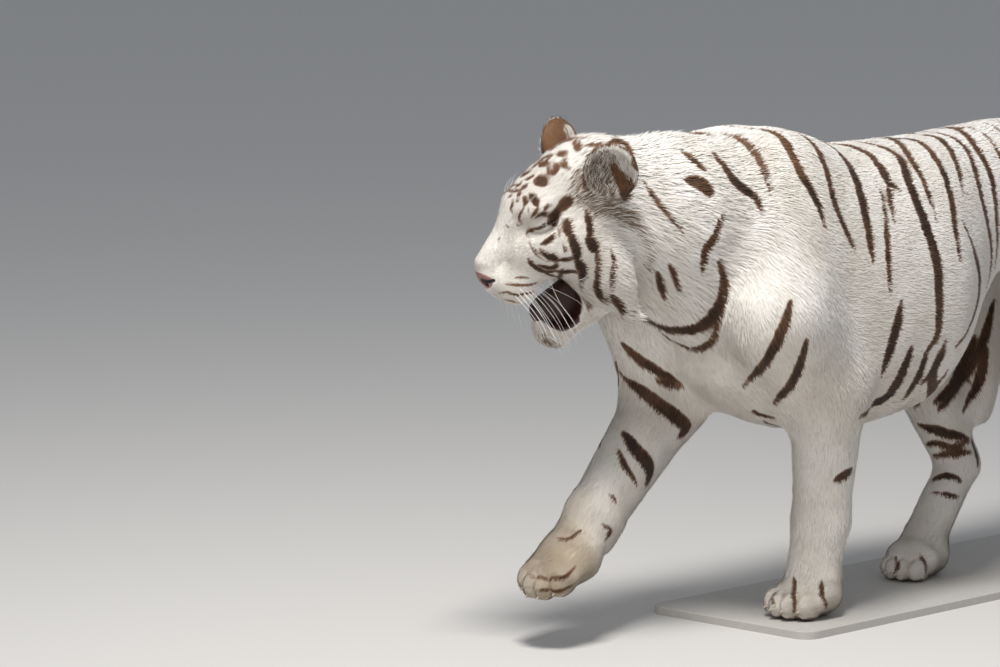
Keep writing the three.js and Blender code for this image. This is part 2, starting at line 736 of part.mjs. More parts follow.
// a hooked claw: shrinking five-sided rings along an arc that bends downward, ending in a point
const CLAW = { length: 17, radius: 5, bend: 40, rings: 2, sides: 5 };
function claw({ root, forward, up }, g) {
  const across = up.clone().cross(forward);
  const radius = CLAW.length / rad(CLAW.bend);
  const on = (t) => {
    const angle = rad(CLAW.bend) * t - rad(12);
    return root.clone().addScaledVector(forward, radius * Math.sin(angle))
      .addScaledVector(up, radius * (Math.cos(angle) - 1));
  };
  const points = [root.clone().addScaledVector(forward, -g - 5)];
  for (let r = 0; r < CLAW.rings; r += 1) {
    const t = r / CLAW.rings;
    const width = CLAW.radius * (1 - 0.8 * t) + g;
    const way = on(t + 0.02).sub(on(t)).normalize();
    const tall = way.clone().cross(across).normalize();
    for (let n = 0; n < CLAW.sides; n += 1) {
      const angle = (n / CLAW.sides) * 2 * Math.PI;
      points.push(on(t).addScaledVector(across, 0.7 * width * Math.cos(angle))
        .addScaledVector(tall, width * Math.sin(angle)));
    }
  }
  points.push(on(1).addScaledVector(on(1).sub(on(0.9)).normalize(), 3 * g));
  const faces = [];
  const ringStart = (r) => 1 + r * CLAW.sides;
  const last = points.length - 1;
  for (let n = 0; n < CLAW.sides; n += 1) {
    const next = (n + 1) % CLAW.sides;
    faces.push(0, ringStart(0) + next, ringStart(0) + n);
    for (let r = 0; r < CLAW.rings - 1; r += 1) {
      const [a, b] = [ringStart(r), ringStart(r + 1)];
      faces.push(a + n, a + next, b + next, a + n, b + next, b + n);
    }
    faces.push(ringStart(CLAW.rings - 1) + n, ringStart(CLAW.rings - 1) + next, last);
  }
  const solid = toSolid({
    points: new Float32Array(points.flatMap((p) => p.toArray())), faces: new Uint32Array(faces),
  });
  return solid.volume() > 0 ? solid : toSolid({
    points: new Float32Array(points.flatMap((p) => p.toArray())), faces: new Uint32Array(faces.reverse()),
  });
}
for (const c of claws) {
  setInto(c.paw, c.name, claw(c, 0), claw(c, GAP * 1.5));
}

// ---------------------------------------------------------------- base
function baseBoard({ back, front, halfWidth, thick, corner }) {
  const outline = new THREE.Shape();
  outline.moveTo(back, -halfWidth + corner);
  outline.lineTo(back, halfWidth - corner);
  outline.absarc(back + corner, halfWidth - corner, corner, Math.PI, Math.PI / 2, true);
  outline.lineTo(front - corner, halfWidth);
  outline.absarc(front - corner, halfWidth - corner, corner, Math.PI / 2, 0, true);
  outline.lineTo(front, -halfWidth + corner);
  outline.absarc(front - corner, -halfWidth + corner, corner, 0, -Math.PI / 2, true);
  outline.lineTo(back + corner, -halfWidth);
  outline.absarc(back + corner, -halfWidth + corner, corner, -Math.PI / 2, -Math.PI, true);
  return new THREE.ExtrudeGeometry(outline, { depth: thick, bevelEnabled: false, curveSegments: 2 });
}

// ---------------------------------------------------------------- output
const COLOURS = {
  stand: ['#b9b4aa', 0.6],
  eye: ['#9fb6c4', 0.15], claw: ['#cfc6b2', 0.35], tongue: ['#a4545a', 0.45], nose: ['#c98f88', 0.5],
  coat: ['#e4e0d8', 0.85],
};
const group = new THREE.Group();
group.rotation.z = Math.PI;
group.position.set(-CENTRE_X, CENTRE_Y, 0);
function addPiece(name, geometry, height) {
  const kind = Object.keys(COLOURS).find((key) => name.includes(key)) ?? 'coat';
  const [color, roughness] = COLOURS[kind];
  const material = new THREE.MeshStandardMaterial({ color, roughness, metalness: 0 });
  const mesh = new THREE.Mesh(geometry, material);
  mesh.name = name;
  mesh.position.z = height;
  group.add(mesh);
}
addPiece('stand_base', baseBoard(BASE), 0);
for (const [name, solid] of solids) {
  addPiece(name, toGeometry(solid), BASE.thick + GAP);
}
export default group;
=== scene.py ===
# %% [markdown]
# # A white tiger, walking
#
# A white tiger is a heavy cat in a short, flat coat: white hair crossed by chocolate stripes,
# a pink nose, pale blue eyes, and longer hair on the ruff and the throat. This file
# dresses a measured, still model of one. The measured solids say where the surface of the coat
# lies; here one smooth skin takes their place, and some hundreds of thousands of thin tufts
# lie on it, each coloured by the stripes that it lies over.
#
# The file works in the animal's own measures: millimetres, X forward, Y to its left, Z up, with
# the left fore paw's wrist near the origin. One helper turns those into the frame's metres.

# %% Load the measured model
import math
import time

import bpy
import bmesh
import numpy as np
from mathutils import Matrix, Vector


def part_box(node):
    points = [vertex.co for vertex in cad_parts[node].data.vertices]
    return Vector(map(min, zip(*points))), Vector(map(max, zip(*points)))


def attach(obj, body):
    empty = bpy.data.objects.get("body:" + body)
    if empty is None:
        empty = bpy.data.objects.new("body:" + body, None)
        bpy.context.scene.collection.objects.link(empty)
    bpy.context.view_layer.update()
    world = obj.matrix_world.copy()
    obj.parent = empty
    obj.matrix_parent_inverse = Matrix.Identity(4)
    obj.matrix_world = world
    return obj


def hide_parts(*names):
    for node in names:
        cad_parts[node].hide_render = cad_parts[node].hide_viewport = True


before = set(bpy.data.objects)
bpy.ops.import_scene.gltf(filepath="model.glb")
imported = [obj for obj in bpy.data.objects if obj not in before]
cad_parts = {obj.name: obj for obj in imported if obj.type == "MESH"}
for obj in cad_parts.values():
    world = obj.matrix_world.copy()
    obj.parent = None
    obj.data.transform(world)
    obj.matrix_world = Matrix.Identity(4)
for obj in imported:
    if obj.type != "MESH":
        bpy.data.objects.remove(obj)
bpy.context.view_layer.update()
STARTED = time.time()
CENTRE = np.array([447.3, -2.8, 16.4])  # centres the animal, and lifts it by the base's height


def in_frame(points):
    """Animal millimetres to the frame's metres: turned half round, with the box centred."""
    moved = np.asarray(points, float) + CENTRE
    return moved * [-0.001, -0.001, 0.001]


# %% [markdown]
# ## The camera
#
# A long lens from the animal's front left, as high as a standing person's eyes and nine metres
# away. The lens and the place are given, so the same view comes back every time.

# %% Camera
EYE_POINT = in_frame([6780.0, 5783.0, 1708.0])
VIEW_TURN, VIEW_DROP = math.radians(46.0), math.radians(7.5)
camera_data = bpy.data.cameras.new("camera")
camera_data.sensor_width = 36.0
camera_data.lens = 167.04
camera_data.clip_end = 60.0
camera = bpy.data.objects.new("camera", camera_data)
bpy.context.scene.collection.objects.link(camera)
LOOK = Vector((
    math.sin(VIEW_TURN) * math.cos(VIEW_DROP),
    math.cos(VIEW_TURN) * math.cos(VIEW_DROP),
    -math.sin(VIEW_DROP),
))
VIEW_RIGHT = LOOK.cross(Vector((0, 0, 1))).normalized()
VIEW_UP = VIEW_RIGHT.cross(LOOK)
view_axes = Matrix((VIEW_RIGHT, VIEW_UP, -LOOK)).transposed().to_4x4()
camera.matrix_world = Matrix.Translation(Vector(EYE_POINT)) @ view_axes
bpy.context.scene.camera = camera
print("camera at", [round(v, 3) for v in EYE_POINT])

# %% [markdown]
# ## How the body is described
#
# The animal could be sculpted by hand, but it has to match the measured solids to a few
# millimetres. So it is described the way they are: as masses of flesh, each a tapered bar or an
# egg, melted into each other by a smooth minimum. Each mass also knows how deep its coat is,
# how long its hair is and which way the hair lies, and those melt together in the same way.

# %% Smooth joining and the two basic masses
def melt(a, b, k):
    """The smaller of two distances, rounded over a width k where they meet."""
    h = np.maximum(k - np.abs(a - b), 0.0) / k
    return np.minimum(a, b) - h * h * k * 0.25


def carve(form, hollow, k):
    """The form with a hollow cut out of it, its edge rounded over a width k."""
    return -melt(-form, hollow, k)


def bar_distance(points, a, b, ra, rb, side):
    """Distance to a tapered bar of oval section; side is the way the first radius runs."""
    axis = b - a
    length = np.linalg.norm(axis)
    axis = axis / length
    wide = side - axis * (side @ axis)
    wide = wide / np.linalg.norm(wide)
    deep = np.cross(axis, wide)
    q = points - a
    along, u, v = q @ axis, q @ wide, q @ deep
    t = np.clip(along / length, 0.0, 1.0)
    past = along - t * length
    ru = ra[0] + (rb[0] - ra[0]) * t
    rv = ra[1] + (rb[1] - ra[1]) * t
    n = np.sqrt((u / ru) ** 2 + (v / rv) ** 2 + (past / np.minimum(ru, rv)) ** 2) + 1e-9
    return (n - 1) / n * np.sqrt(u * u + v * v + past * past)


def egg_distance(points, centre, radii, turn):
    """Distance to an egg; the columns of turn are the ways its radii run."""
    q = (points - centre) @ turn
    n = np.sqrt(((q / radii) ** 2).sum(-1)) + 1e-9
    return (n - 1) / n * np.sqrt((q * q).sum(-1))


# %% [markdown]
# The trunk is a loft: rings along the spine, each with a top, an underline and a half width,
# joined by a curve that never overshoots. The widest point of each ring sits a little below
# the middle, as a standing cat's ribs hang.

# %% The trunk
TRUNK = np.array([
    [-1045, 785, 670, 70], [-990, 842, 620, 110], [-900, 895, 588, 140], [-760, 916, 572, 158],
    [-660, 917, 602, 148], [-560, 912, 592, 142], [-460, 906, 500, 156], [-370, 902, 398, 192],
    [-270, 900, 352, 224], [-120, 902, 337, 216], [0, 932, 347, 200], [120, 940, 380, 180],
    [225, 878, 450, 140], [280, 785, 550, 85],
], float)
TRUNK_ROUND = 58.0
TRUNK_POWER = 2.25
TRUNK_WAIST = 0.46


def ring_slopes(column):
    step = np.diff(TRUNK[:, 0])
    rise = np.diff(TRUNK[:, column]) / step
    slopes = [rise[0]]
    for i in range(1, len(rise)):
        before, after = rise[i - 1], rise[i]
        w1 = 2 * step[i] + step[i - 1]
        w2 = step[i] + 2 * step[i - 1]
        slopes.append((w1 + w2) / (w1 / before + w2 / after) if before * after > 0 else 0.0)
    return np.array(slopes + [rise[-1]])


RING_SLOPES = {column: ring_slopes(column) for column in (1, 2, 3)}


def ring_at(column, x):
    """Top (1), underline (2) or half width (3) of the trunk at each x."""
    i = np.clip(np.searchsorted(TRUNK[:, 0], x, side="right") - 1, 0, len(TRUNK) - 2)
    h = TRUNK[i + 1, 0] - TRUNK[i, 0]
    t = (x - TRUNK[i, 0]) / h
    m = RING_SLOPES[column]
    return (
        (2 * t**3 - 3 * t**2 + 1) * TRUNK[i, column] + (t**3 - 2 * t**2 + t) * h * m[i]
        + (3 * t**2 - 2 * t**3) * TRUNK[i + 1, column] + (t**3 - t**2) * h * m[i + 1]
    )


def trunk_distance(points, coat):
    x = np.clip(points[..., 0], TRUNK[0, 0], TRUNK[-1, 0])
    top, under, half = ring_at(1, x) - coat, ring_at(2, x) + coat, ring_at(3, x) - coat
    middle = under + (top - under) * TRUNK_WAIST
    z = points[..., 2] - middle
    reach = np.where(z > 0, top - middle, middle - under)
    y = np.abs(points[..., 1])
    past = points[..., 0] - x
    r = ((y / half) ** TRUNK_POWER + (np.abs(z) / reach) ** TRUNK_POWER) ** (1 / TRUNK_POWER)
    n = np.hypot(r, past / (TRUNK_ROUND - coat)) + 1e-9
    return (n - 1) / n * np.sqrt(y * y + z * z + past * past)


# %% [markdown]
# The head has a frame of its own, with the tip of the nose at its origin. It is turned to the
# animal's right, nods down, and leans a little, all of which a cat does when it looks aside
# in mid-stride. Places on the head are then easy to say: left and right differ only in sign.

# %% The head's own frame
HEAD_SCALE = 1.01
NOSE = np.array([703.0, -149.0, 690.0])
HEAD_TURN, HEAD_NOD, HEAD_TILT = (math.radians(v) for v in (-26.0, 25.0, -7.0))


def turn_about(axis, angle):
    c, s = math.cos(angle), math.sin(angle)
    rows = {
        "x": [[1, 0, 0], [0, c, -s], [0, s, c]],
        "y": [[c, 0, s], [0, 1, 0], [-s, 0, c]],
        "z": [[c, -s, 0], [s, c, 0], [0, 0, 1]],
    }
    return np.array(rows[axis], float)


HEAD = turn_about("z", HEAD_TURN) @ turn_about("y", HEAD_NOD) @ turn_about("x", HEAD_TILT)


def on_head(p):
    """A place in the head's frame, as a place on the animal."""
    return (np.asarray(p, float) * HEAD_SCALE) @ HEAD.T + NOSE


def head_way(p):
    way = np.asarray(p, float) @ HEAD.T
    return way / np.linalg.norm(way)


def to_head(points):
    return ((points - NOSE) @ HEAD) / HEAD_SCALE


def mirrored(p, side):
    """The same place on the left (side 1) or on the right (side -1)."""
    return np.array([p[0], p[1] * side, p[2]], float)


# %% [markdown]
# ## Coats
#
# A coat is how one stretch of hair looks: its depth over the skin, the length and width of a
# tuft, the gap between tufts, and how far the tip lifts. Hair is shortest on the face and
# feet, over four centimetres long on the ruff and the throat, and nearly flat everywhere.

# %% Coats
COATS = {
    # name: depth, length, width, spacing, lift
    "face": (2.5, 9.0, 1.1, 1.9, 0.20),
    "muzzle": (2.0, 6.5, 1.0, 1.7, 0.16),
    "crown": (4.0, 15.0, 1.3, 2.1, 0.20),
    "ruff": (14.0, 44.0, 2.0, 2.8, 0.17),
    "chin": (5.0, 16.0, 1.3, 2.1, 0.30),
    "ear": (2.5, 12.0, 1.2, 1.9, 0.22),
    "neck": (9.0, 34.0, 2.0, 2.8, 0.20),
    "throat": (12.0, 44.0, 2.2, 3.0, 0.26),
    "back": (6.5, 22.0, 1.9, 2.95, 0.12),
    "leg": (5.0, 17.0, 1.6, 2.7, 0.15),
    "paw": (3.0, 12.0, 1.3, 2.2, 0.24),
    "tail": (8.0, 26.0, 2.0, 3.0, 0.22),
}
LENGTH, WIDTH, SPACING, LIFT = 0, 1, 2, 3  # columns of a coat once its depth is used up
MARGIN = 30.0  # how far beyond a mass its distance is still worked out
masses = []


def add_mass(field, low, high, k, coat, lie):
    """field(points, coat depth) is the distance to the mass; lie is the way its hair runs."""
    masses.append({
        "field": field, "k": float(k), "coat": coat, "lie": lie,
        "low": np.asarray(low, float) - k - MARGIN, "high": np.asarray(high, float) + k + MARGIN,
    })


def within(points, low, high):
    """The numbers of the points that lie in a box."""
    return np.flatnonzero(((points > low) & (points < high)).all(1))


def add_bar(a, b, ra, rb, k, coat, lie=None, side=(0, 1, 0)):
    a, b, ra, rb, side = (np.asarray(v, float) for v in (a, b, ra, rb, side))
    reach = max(*ra, *rb)
    add_mass(
        lambda p, c: bar_distance(p, a, b, ra - c, rb - c, side),
        np.minimum(a, b) - reach, np.maximum(a, b) + reach, k, coat, b - a if lie is None else lie,
    )


def add_egg(centre, radii, k, coat, lie, turn=None):
    centre, radii = np.asarray(centre, float), np.asarray(radii, float)
    turn = np.eye(3) if turn is None else turn
    add_mass(
        lambda p, c: egg_distance(p, centre, radii - c, turn),
        centre - radii.max(), centre + radii.max(), k, coat, lie,
    )


BACKWARD = (-1.0, 0.0, -0.12)
add_mass(trunk_distance, [-1250, -330, 230], [450, 330, 1050], 60, "back", BACKWARD)
add_bar([150, 0, 730], [330, -15, 780], [150, 200], [132, 158], 70, "neck", (-1, 0, -0.25))
add_bar([330, -15, 784], on_head([-270, 0, 46]), [132, 154], [104, 112], 60, "neck", (-1, 0, -0.35))
add_bar([225, -8, 640], [270, -16, 720], [104, 96], [96, 90], 60, "throat", (-0.6, 0, -0.8))
print("masses so far:", len(masses))

# %% [markdown]
# ## Legs and paws
#
# Each leg is a chain of bars from the shoulder blade or the hip down to the toes. The left fore
# leg bears the weight, the right one swings forward with its paw in the air, the right hind
# leg has just landed under the belly and the left one pushes off behind.

# %% Legs
LEGS = {
    "fore_left": [[60, 75, 870], [190, 148, 605], [20, 130, 445], [4, 100, 185], [12, 90, 95]],
    "fore_right": [
        [130, -75, 876], [244, -138, 612], [185, -138, 415], [420, -112, 215], [490, -106, 150],
    ],
    "hind_left": [[-860, 98, 725], [-690, 146, 445], [-990, 112, 265], [-960, 96, 80], [-925, 92, 40]],
    "hind_right": [
        [-830, -98, 725], [-520, -136, 500], [-602, -44, 208], [-468, -24, 75], [-420, -14, 40],
    ],
}
FORWARD, LEFTWARD = np.array([1.0, 0, 0]), np.array([0, 1.0, 0])
RAISED_PAW = np.array([0.88, 0.03, -0.44]) / np.linalg.norm([0.88, 0.03, -0.44])
TOE_PLACES = [(0.62, -0.896), (0.98, -0.304), (0.98, 0.304), (0.62, 0.896)]  # ahead and aside
TOE_RADII = np.array([0.72, 0.45, 0.66])  # these two in shares of a paw's size
claws, pads = [], []


def toes(at, forward, size):
    """Four toes side by side, with a claw in front of each and a pad under each."""
    at = np.asarray(at, float)
    up = np.cross(forward, LEFTWARD)
    up /= np.linalg.norm(up)
    turn = np.stack([forward, LEFTWARD, up], 1)
    for ahead, off in TOE_PLACES:
        centre = at + forward * ahead * size + LEFTWARD * off * size
        add_egg(centre, TOE_RADII * size, 5, "paw", forward, turn)
        claws.append((centre + forward * size * 0.56 - up * size * 0.1, forward, up))
        pads.append((centre - up * size * 0.62 + forward * size * 0.1, size * 0.42))
    pads.append((at - up * size * 0.45 - forward * size * 0.25, size * 0.85))


for name in ("fore_left", "fore_right"):
    blade, shoulder, elbow, wrist, _ = LEGS[name]
    add_bar(blade, shoulder, [45, 95], [80, 112], 70, "back", (-0.5, 0, -0.85))
    add_bar(shoulder, elbow, [84, 112], [72, 92], 55, "back", (-0.45, 0, -0.9))
    add_bar(elbow, wrist, [68, 88], [54, 62], 45, "leg")
add_bar(LEGS["fore_left"][3], LEGS["fore_left"][4], [54, 60], [58, 54], 25, "leg")
add_bar([14, 90, 46], [52, 86, 34], [68, 50], [70, 38], 30, "paw", FORWARD)
toes([42, 86, 26], FORWARD, 46)
add_bar(LEGS["fore_right"][3], LEGS["fore_right"][4], [54, 62], [60, 50], 25, "leg")
add_bar([495, -106, 150], [545, -104, 124], [66, 46], [68, 38], 28, "paw")
toes([532, -105, 128], RAISED_PAW, 46)
add_egg([400, -112, 168], [26, 28, 30], 15, "leg", (0.4, 0, -0.9))
HAMSTRINGS = {
    "hind_left": ([-930, 96, 600], [-880, 118, 400], [60, 88], [46, 58]),
    "hind_right": ([-760, -100, 560], [-668, -72, 320], [72, 100], [48, 66]),
}
for name in ("hind_left", "hind_right"):
    hip, knee, hock, foot, toe = (np.array(p, float) for p in LEGS[name])
    add_bar(hip, knee, [90, 165], [78, 102], 70, "back", (-0.35, 0, -0.9))
    add_bar(*HAMSTRINGS[name], 45, "back", (-0.2, 0, -1.0))
    add_bar(knee, hock, [70, 94], [42, 52], 45, "leg")
    add_bar(hock, foot, [42, 50], [48, 44], 20, "leg")
    add_bar(foot - [0, 0, 34], toe, [54, 46], [58, 44], 26, "paw", FORWARD)
    toes([toe[0] + 2, toe[1], 22], FORWARD, 40)
print("claws:", len(claws), "pads:", len(pads))

# %% [markdown]
# ## Tail
#
# The tail hangs from the rump, clears the heels and lifts at its tip. It is a run of short
# bars along a smooth curve through a few places.

# %% Tail
TAIL = np.array([
    [-960, 0, 838, 68], [-1070, 6, 790, 52], [-1150, 16, 648, 43], [-1195, 28, 480, 40],
    [-1260, 38, 330, 39], [-1370, 42, 250, 38], [-1490, 38, 245, 36], [-1580, 30, 300, 26],
], float)
TAIL_STEPS = 22


def centripetal(points, t):
    """A place at share t along a centripetal Catmull-Rom curve through the points."""
    last = len(points) - 1
    s = t * last
    i = min(int(s), last - 1)
    w = s - i
    if w == 0 and i == last:
        i, w = last - 1, 1.0
    p1, p2 = points[i], points[i + 1]
    p0 = points[i - 1] if i > 0 else 2 * points[0] - points[1]
    p3 = points[i + 2] if i + 2 <= last else 2 * points[last] - points[last - 1]
    d0, d1, d2 = (max(np.linalg.norm(q - p) ** 0.5, 1e-4) for p, q in ((p0, p1), (p1, p2), (p2, p3)))
    m1 = ((p1 - p0) / d0 - (p2 - p0) / (d0 + d1) + (p2 - p1) / d1) * d1
    m2 = ((p2 - p1) / d1 - (p3 - p1) / (d1 + d2) + (p3 - p2) / d2) * d1
    return (
        p1 + m1 * w + (-3 * p1 + 3 * p2 - 2 * m1 - m2) * w**2 + (2 * p1 - 2 * p2 + m1 + m2) * w**3
    )


def tail_place(t):
    return centripetal(TAIL[:, :3], t)


def tail_radius(t):
    return np.interp(t * (len(TAIL) - 1), np.arange(len(TAIL)), TAIL[:, 3])


for i in range(TAIL_STEPS):
    s, t = i / TAIL_STEPS, (i + 1) / TAIL_STEPS
    r, q = tail_radius(s), tail_radius(t)
    add_bar(tail_place(s), tail_place(t), [r, r], [q, q], 50 if i == 0 else 8, "tail")
print("tail tip at", tail_place(1.0).round())

# %% [markdown]
# ## The head
#
# A tiger's head is a box of muscle behind a short, deep muzzle. The masses below are the
# cranium, the bridge, the cheekbones, the chewing muscle, the whisker pads, the ruff and the
# jaw. Hair on a cat's face runs away from the nose in every direction; the ruff hangs.

# %% Head masses
FROM_NOSE = "from the nose"


def head_egg(centre, radii, k, coat):
    for side in (1, -1) if centre[1] else (1,):
        place = on_head([centre[0], centre[1] * side, centre[2]])
        lie = head_way([-0.5, side * 0.15, -0.85]) if coat == "ruff" else FROM_NOSE
        add_egg(place, np.array(radii) * HEAD_SCALE, k, coat, lie, HEAD)


def head_bar(a, b, ra, rb, k, coat, side=(0, 1, 0), lie=FROM_NOSE):
    ra, rb = np.array(ra) * HEAD_SCALE, np.array(rb) * HEAD_SCALE
    add_bar(on_head(a), on_head(b), ra, rb, k, coat, lie, head_way(side))


head_egg([-228, 0, 58], [100, 90, 90], 30, "crown")
head_egg([-160, 0, 64], [70, 66, 66], 30, "face")
head_bar([-130, 0, 62], [-30, 0, 20], [38, 40], [25, 21], 25, "muzzle")
head_bar([-128, 0, -14], [-46, 0, -20], [52, 56], [37, 36], 25, "muzzle")
head_egg([-108, 40, 8], [46, 26, 42], 25, "face")
head_egg([-64, 27, -36], [44, 30, 40], 18, "muzzle")
head_egg([-20, 0, -1], [15, 26, 19], 10, "muzzle")
head_egg([-172, 66, 2], [75, 50, 60], 30, "face")
head_egg([-202, 64, -62], [60, 52, 70], 30, "crown")
head_egg([-150, 46, 86], [36, 28, 22], 20, "face")
head_egg([-218, 82, -96], [46, 44, 92], 35, "ruff")
head_bar([-200, 0, -120], [-106, 0, -152], [60, 62], [40, 42], 22, "chin")
head_egg([-98, 0, -156], [36, 36, 36], 16, "chin")
EAR_AT, EAR_RADII = [-281.0, 112.0, 104.0], [21.0, 52.0, 60.0]
CUP_AT, CUP_RADII = [-275.0, 125.0, 109.0], [20.0, 42.0, 50.0]
EARS = {}
for side in (1, -1):
    up = head_way([-0.2, side * 0.26, 0.94])
    ear_across = np.cross(up, head_way([0.45, side * 0.89, 0]))
    ear_across /= np.linalg.norm(ear_across)
    EARS[side] = np.stack([np.cross(ear_across, up), ear_across, up], 1)
    add_egg(on_head(mirrored(EAR_AT, side)), EAR_RADII, 12, "ear", up, EARS[side])
print("masses:", len(masses))

# %% [markdown]
# Some of the head is hollow: the open mouth, the orbits and the cups of the ears are cut out
# of the melted masses, with a soft edge of their own. The lids fill each orbit again, as one
# mass that reaches back past the corner of the eye. Finer cuts then give the nostrils and the
# slit between the lids.

# %% Hollows
MOUTH_CORNER, MOUTH_HALF = [-124.0, 42.0, -110.0], np.array([36.0, 43.0])
EYE_AT, EYE_RADIUS = [-146.0, 49.0, 58.0], 17.0
ORBIT_AT, ORBIT_RADII = [-136.0, 66.0, 58.0], np.array([34.0, 22.0, 18.0])
LID_RADII, LID_BACK = np.array([28.0, 20.4, 19.6]), 5.0  # LID_BACK: how far behind the eye
SLIT_RADII = np.array([17.0, 8.0, 0.7])
SLIT_OUT, SLIT_DOWN, SLIT_BACK = 1.0, 2.5, 2.0  # from the front of the eyeball


def mouth_distance(points):
    x, y, z = MOUTH_CORNER
    return bar_distance(
        points, on_head([x, y, z]), on_head([x, -y, z]), MOUTH_HALF, MOUTH_HALF, head_way([1, 0, 0]),
    )


def ear_cup_distance(points, side):
    return egg_distance(points, on_head(mirrored(CUP_AT, side)), np.array(CUP_RADII), EARS[side])


def orbit_distance(points, side):
    return egg_distance(points, on_head(mirrored(ORBIT_AT, side)), ORBIT_RADII, HEAD)


def eye_frame(side):
    """Along the lids, outward through the pupil, and upward, as columns."""
    along = head_way(mirrored([-0.90, 0.42, 0.16], side))
    out = head_way(mirrored([0.42, 0.90, 0.05], side))
    up = np.cross(along, out) * -side
    up /= np.linalg.norm(up)
    return np.stack([along, np.cross(up, along), up], 1)


def lid_distance(points, side):
    turn = eye_frame(side)
    centre = on_head(mirrored(EYE_AT, side)) + turn[:, 0] * LID_BACK
    return egg_distance(points, centre, LID_RADII, turn)


def slit_distance(points, side):
    turn = eye_frame(side)
    out = turn[:, 1] * np.sign(turn[:, 1] @ head_way([0, side, 0]))
    centre = on_head(mirrored(EYE_AT, side)) + out * (EYE_RADIUS + SLIT_OUT)
    centre = centre - turn[:, 2] * SLIT_DOWN + turn[:, 0] * SLIT_BACK
    return egg_distance(points, centre, SLIT_RADII, turn)


def nostril_distance(points, side):
    a = on_head([-6, side * 13, -4])
    b = on_head([-24, side * 27, -8])
    c = on_head([-16, side * 12, -14])
    round_part = bar_distance(points, a, c, np.array([6.0, 5.0]), np.array([5.0, 4.0]), LEFTWARD)
    wing = bar_distance(points, a, b, np.array([4.2, 4.2]), np.array([2.2, 2.2]), head_way([0, 0, 1]))
    return melt(round_part, wing, 3.0)


# %% [markdown]
# One function melts everything together for any set of places. Each mass gives up its coat's
# depth first, so the form is the skin, and the tips of the hair reach out to the full size.

# %% The whole form
FAR_AWAY = 400.0
HEAD_MIDDLE, HEAD_REACH = [-150.0, 0.0, 0.0], 320.0  # all the hollows lie this near
SOLE_HEIGHT, SOLE_EASE = 0.6, 3.0


def melted(points, fine):
    """Distance to the skin; fine adds the lids, the slits between them and the nostrils."""
    flat = points.reshape(-1, 3)
    distance = np.full(len(flat), FAR_AWAY)
    for m in masses:
        near = within(flat, m["low"], m["high"])
        if len(near):
            depth = COATS[m["coat"]][0]
            distance[near] = melt(distance[near], m["field"](flat[near], depth), m["k"])
    near = np.flatnonzero(np.linalg.norm(flat - on_head(HEAD_MIDDLE), axis=1) < HEAD_REACH)
    if len(near):
        p, d = flat[near], distance[near]
        d = carve(d, mouth_distance(p), 10.0)
        for side in (1, -1):
            d = carve(d, orbit_distance(p, side), 14.0)
            d = carve(d, ear_cup_distance(p, side), 8.0)
            if fine:
                d = melt(d, lid_distance(p, side), 5.0)
                d = carve(d, slit_distance(p, side), 1.5)
                d = carve(d, nostril_distance(p, side), 2.5)
        distance[near] = d
    distance = carve(distance, flat[:, 2] - SOLE_HEIGHT, SOLE_EASE)  # soles are flat underneath
    return distance.reshape(points.shape[:-1])


# %% [markdown]
# ## The skin's mesh
#
# A surface can be drawn out of such a form with marching cubes or with surface nets. Nets give
# one vertex in each crossed cell and only quads, which subdivide and shade better, so they are
# used here. The net is 8 mm wide; the head and paws are then subdivided once and the face
# twice, and every vertex is walked back onto the form, where the lids and nostrils appear.

# %% Surface nets
CELL = 8.0
NET_LOW, NET_HIGH = np.array([-1640.0, -270.0, -14.0]), np.array([740.0, 270.0, 1000.0])


def surface_net(values, low, cell):
    inside = values < 0
    shape = np.array(values.shape) - 1
    corners = [(i, j, k) for i in (0, 1) for j in (0, 1) for k in (0, 1)]

    def shifted(array, c):
        return array[c[0]:c[0] + shape[0], c[1]:c[1] + shape[1], c[2]:c[2] + shape[2]]

    count = sum(shifted(inside, c).astype(np.int8) for c in corners)
    crossed = (count > 0) & (count < 8)
    cells = np.argwhere(crossed)
    number = np.full(crossed.shape, -1)
    number[crossed] = np.arange(len(cells))
    total, hits = np.zeros((len(cells), 3)), np.zeros(len(cells))
    for a in corners:
        for axis in range(3):
            if a[axis]:
                continue
            b = tuple(1 if k == axis else a[k] for k in range(3))
            va, vb = values[tuple((cells + a).T)], values[tuple((cells + b).T)]
            crosses = (va < 0) != (vb < 0)
            t = np.where(crosses, va / np.where(crosses, va - vb, 1.0), 0.0)
            place = np.array(a, float) + np.eye(3)[axis] * t[:, None]
            total += place * crosses[:, None]
            hits += crosses
    vertices = (cells + total / hits[:, None]) * cell + low
    quads = []
    for axis in range(3):
        start = [0 if k == axis else 1 for k in range(3)]
        here = inside[tuple(slice(start[k], shape[k]) for k in range(3))]
        step = [slice(start[k], shape[k]) for k in range(3)]
        step[axis] = slice(1, shape[axis] + 1)
        beyond = inside[tuple(step)][tuple(slice(0, n) for n in here.shape)]
        edges = np.argwhere(here != beyond) + start
        u, v = (np.eye(3, dtype=int)[(axis + n) % 3] for n in (1, 2))
        ring = np.stack([number[tuple((edges - s).T)] for s in (u + v, v, 0 * u, u)], 1)
        leaving = here[here != beyond]
        quads.append(np.where(leaving[:, None], ring, ring[:, ::-1]))
    return vertices, np.concatenate(quads)


axes = [np.arange(NET_LOW[k], NET_HIGH[k], CELL) for k in range(3)]
lattice = np.stack(np.meshgrid(*axes, indexing="ij"), -1)
net_vertices, net_quads = surface_net(melted(lattice, False), NET_LOW, CELL)
print(f"net: {len(net_vertices)} vertices, {len(net_quads)} quads, {time.time() - STARTED:.1f} s")


# %% Refine the head and paws
HEAD_SIDE = 170.0  # half the width of the box that is refined around the head
PAW_TOP = 70.0  # the height below which a standing paw is refined
RAISED_MIDDLE, RAISED_REACH = [530, -105, 130], 105.0
WALK = 4.0  # the furthest that a vertex moves in one round


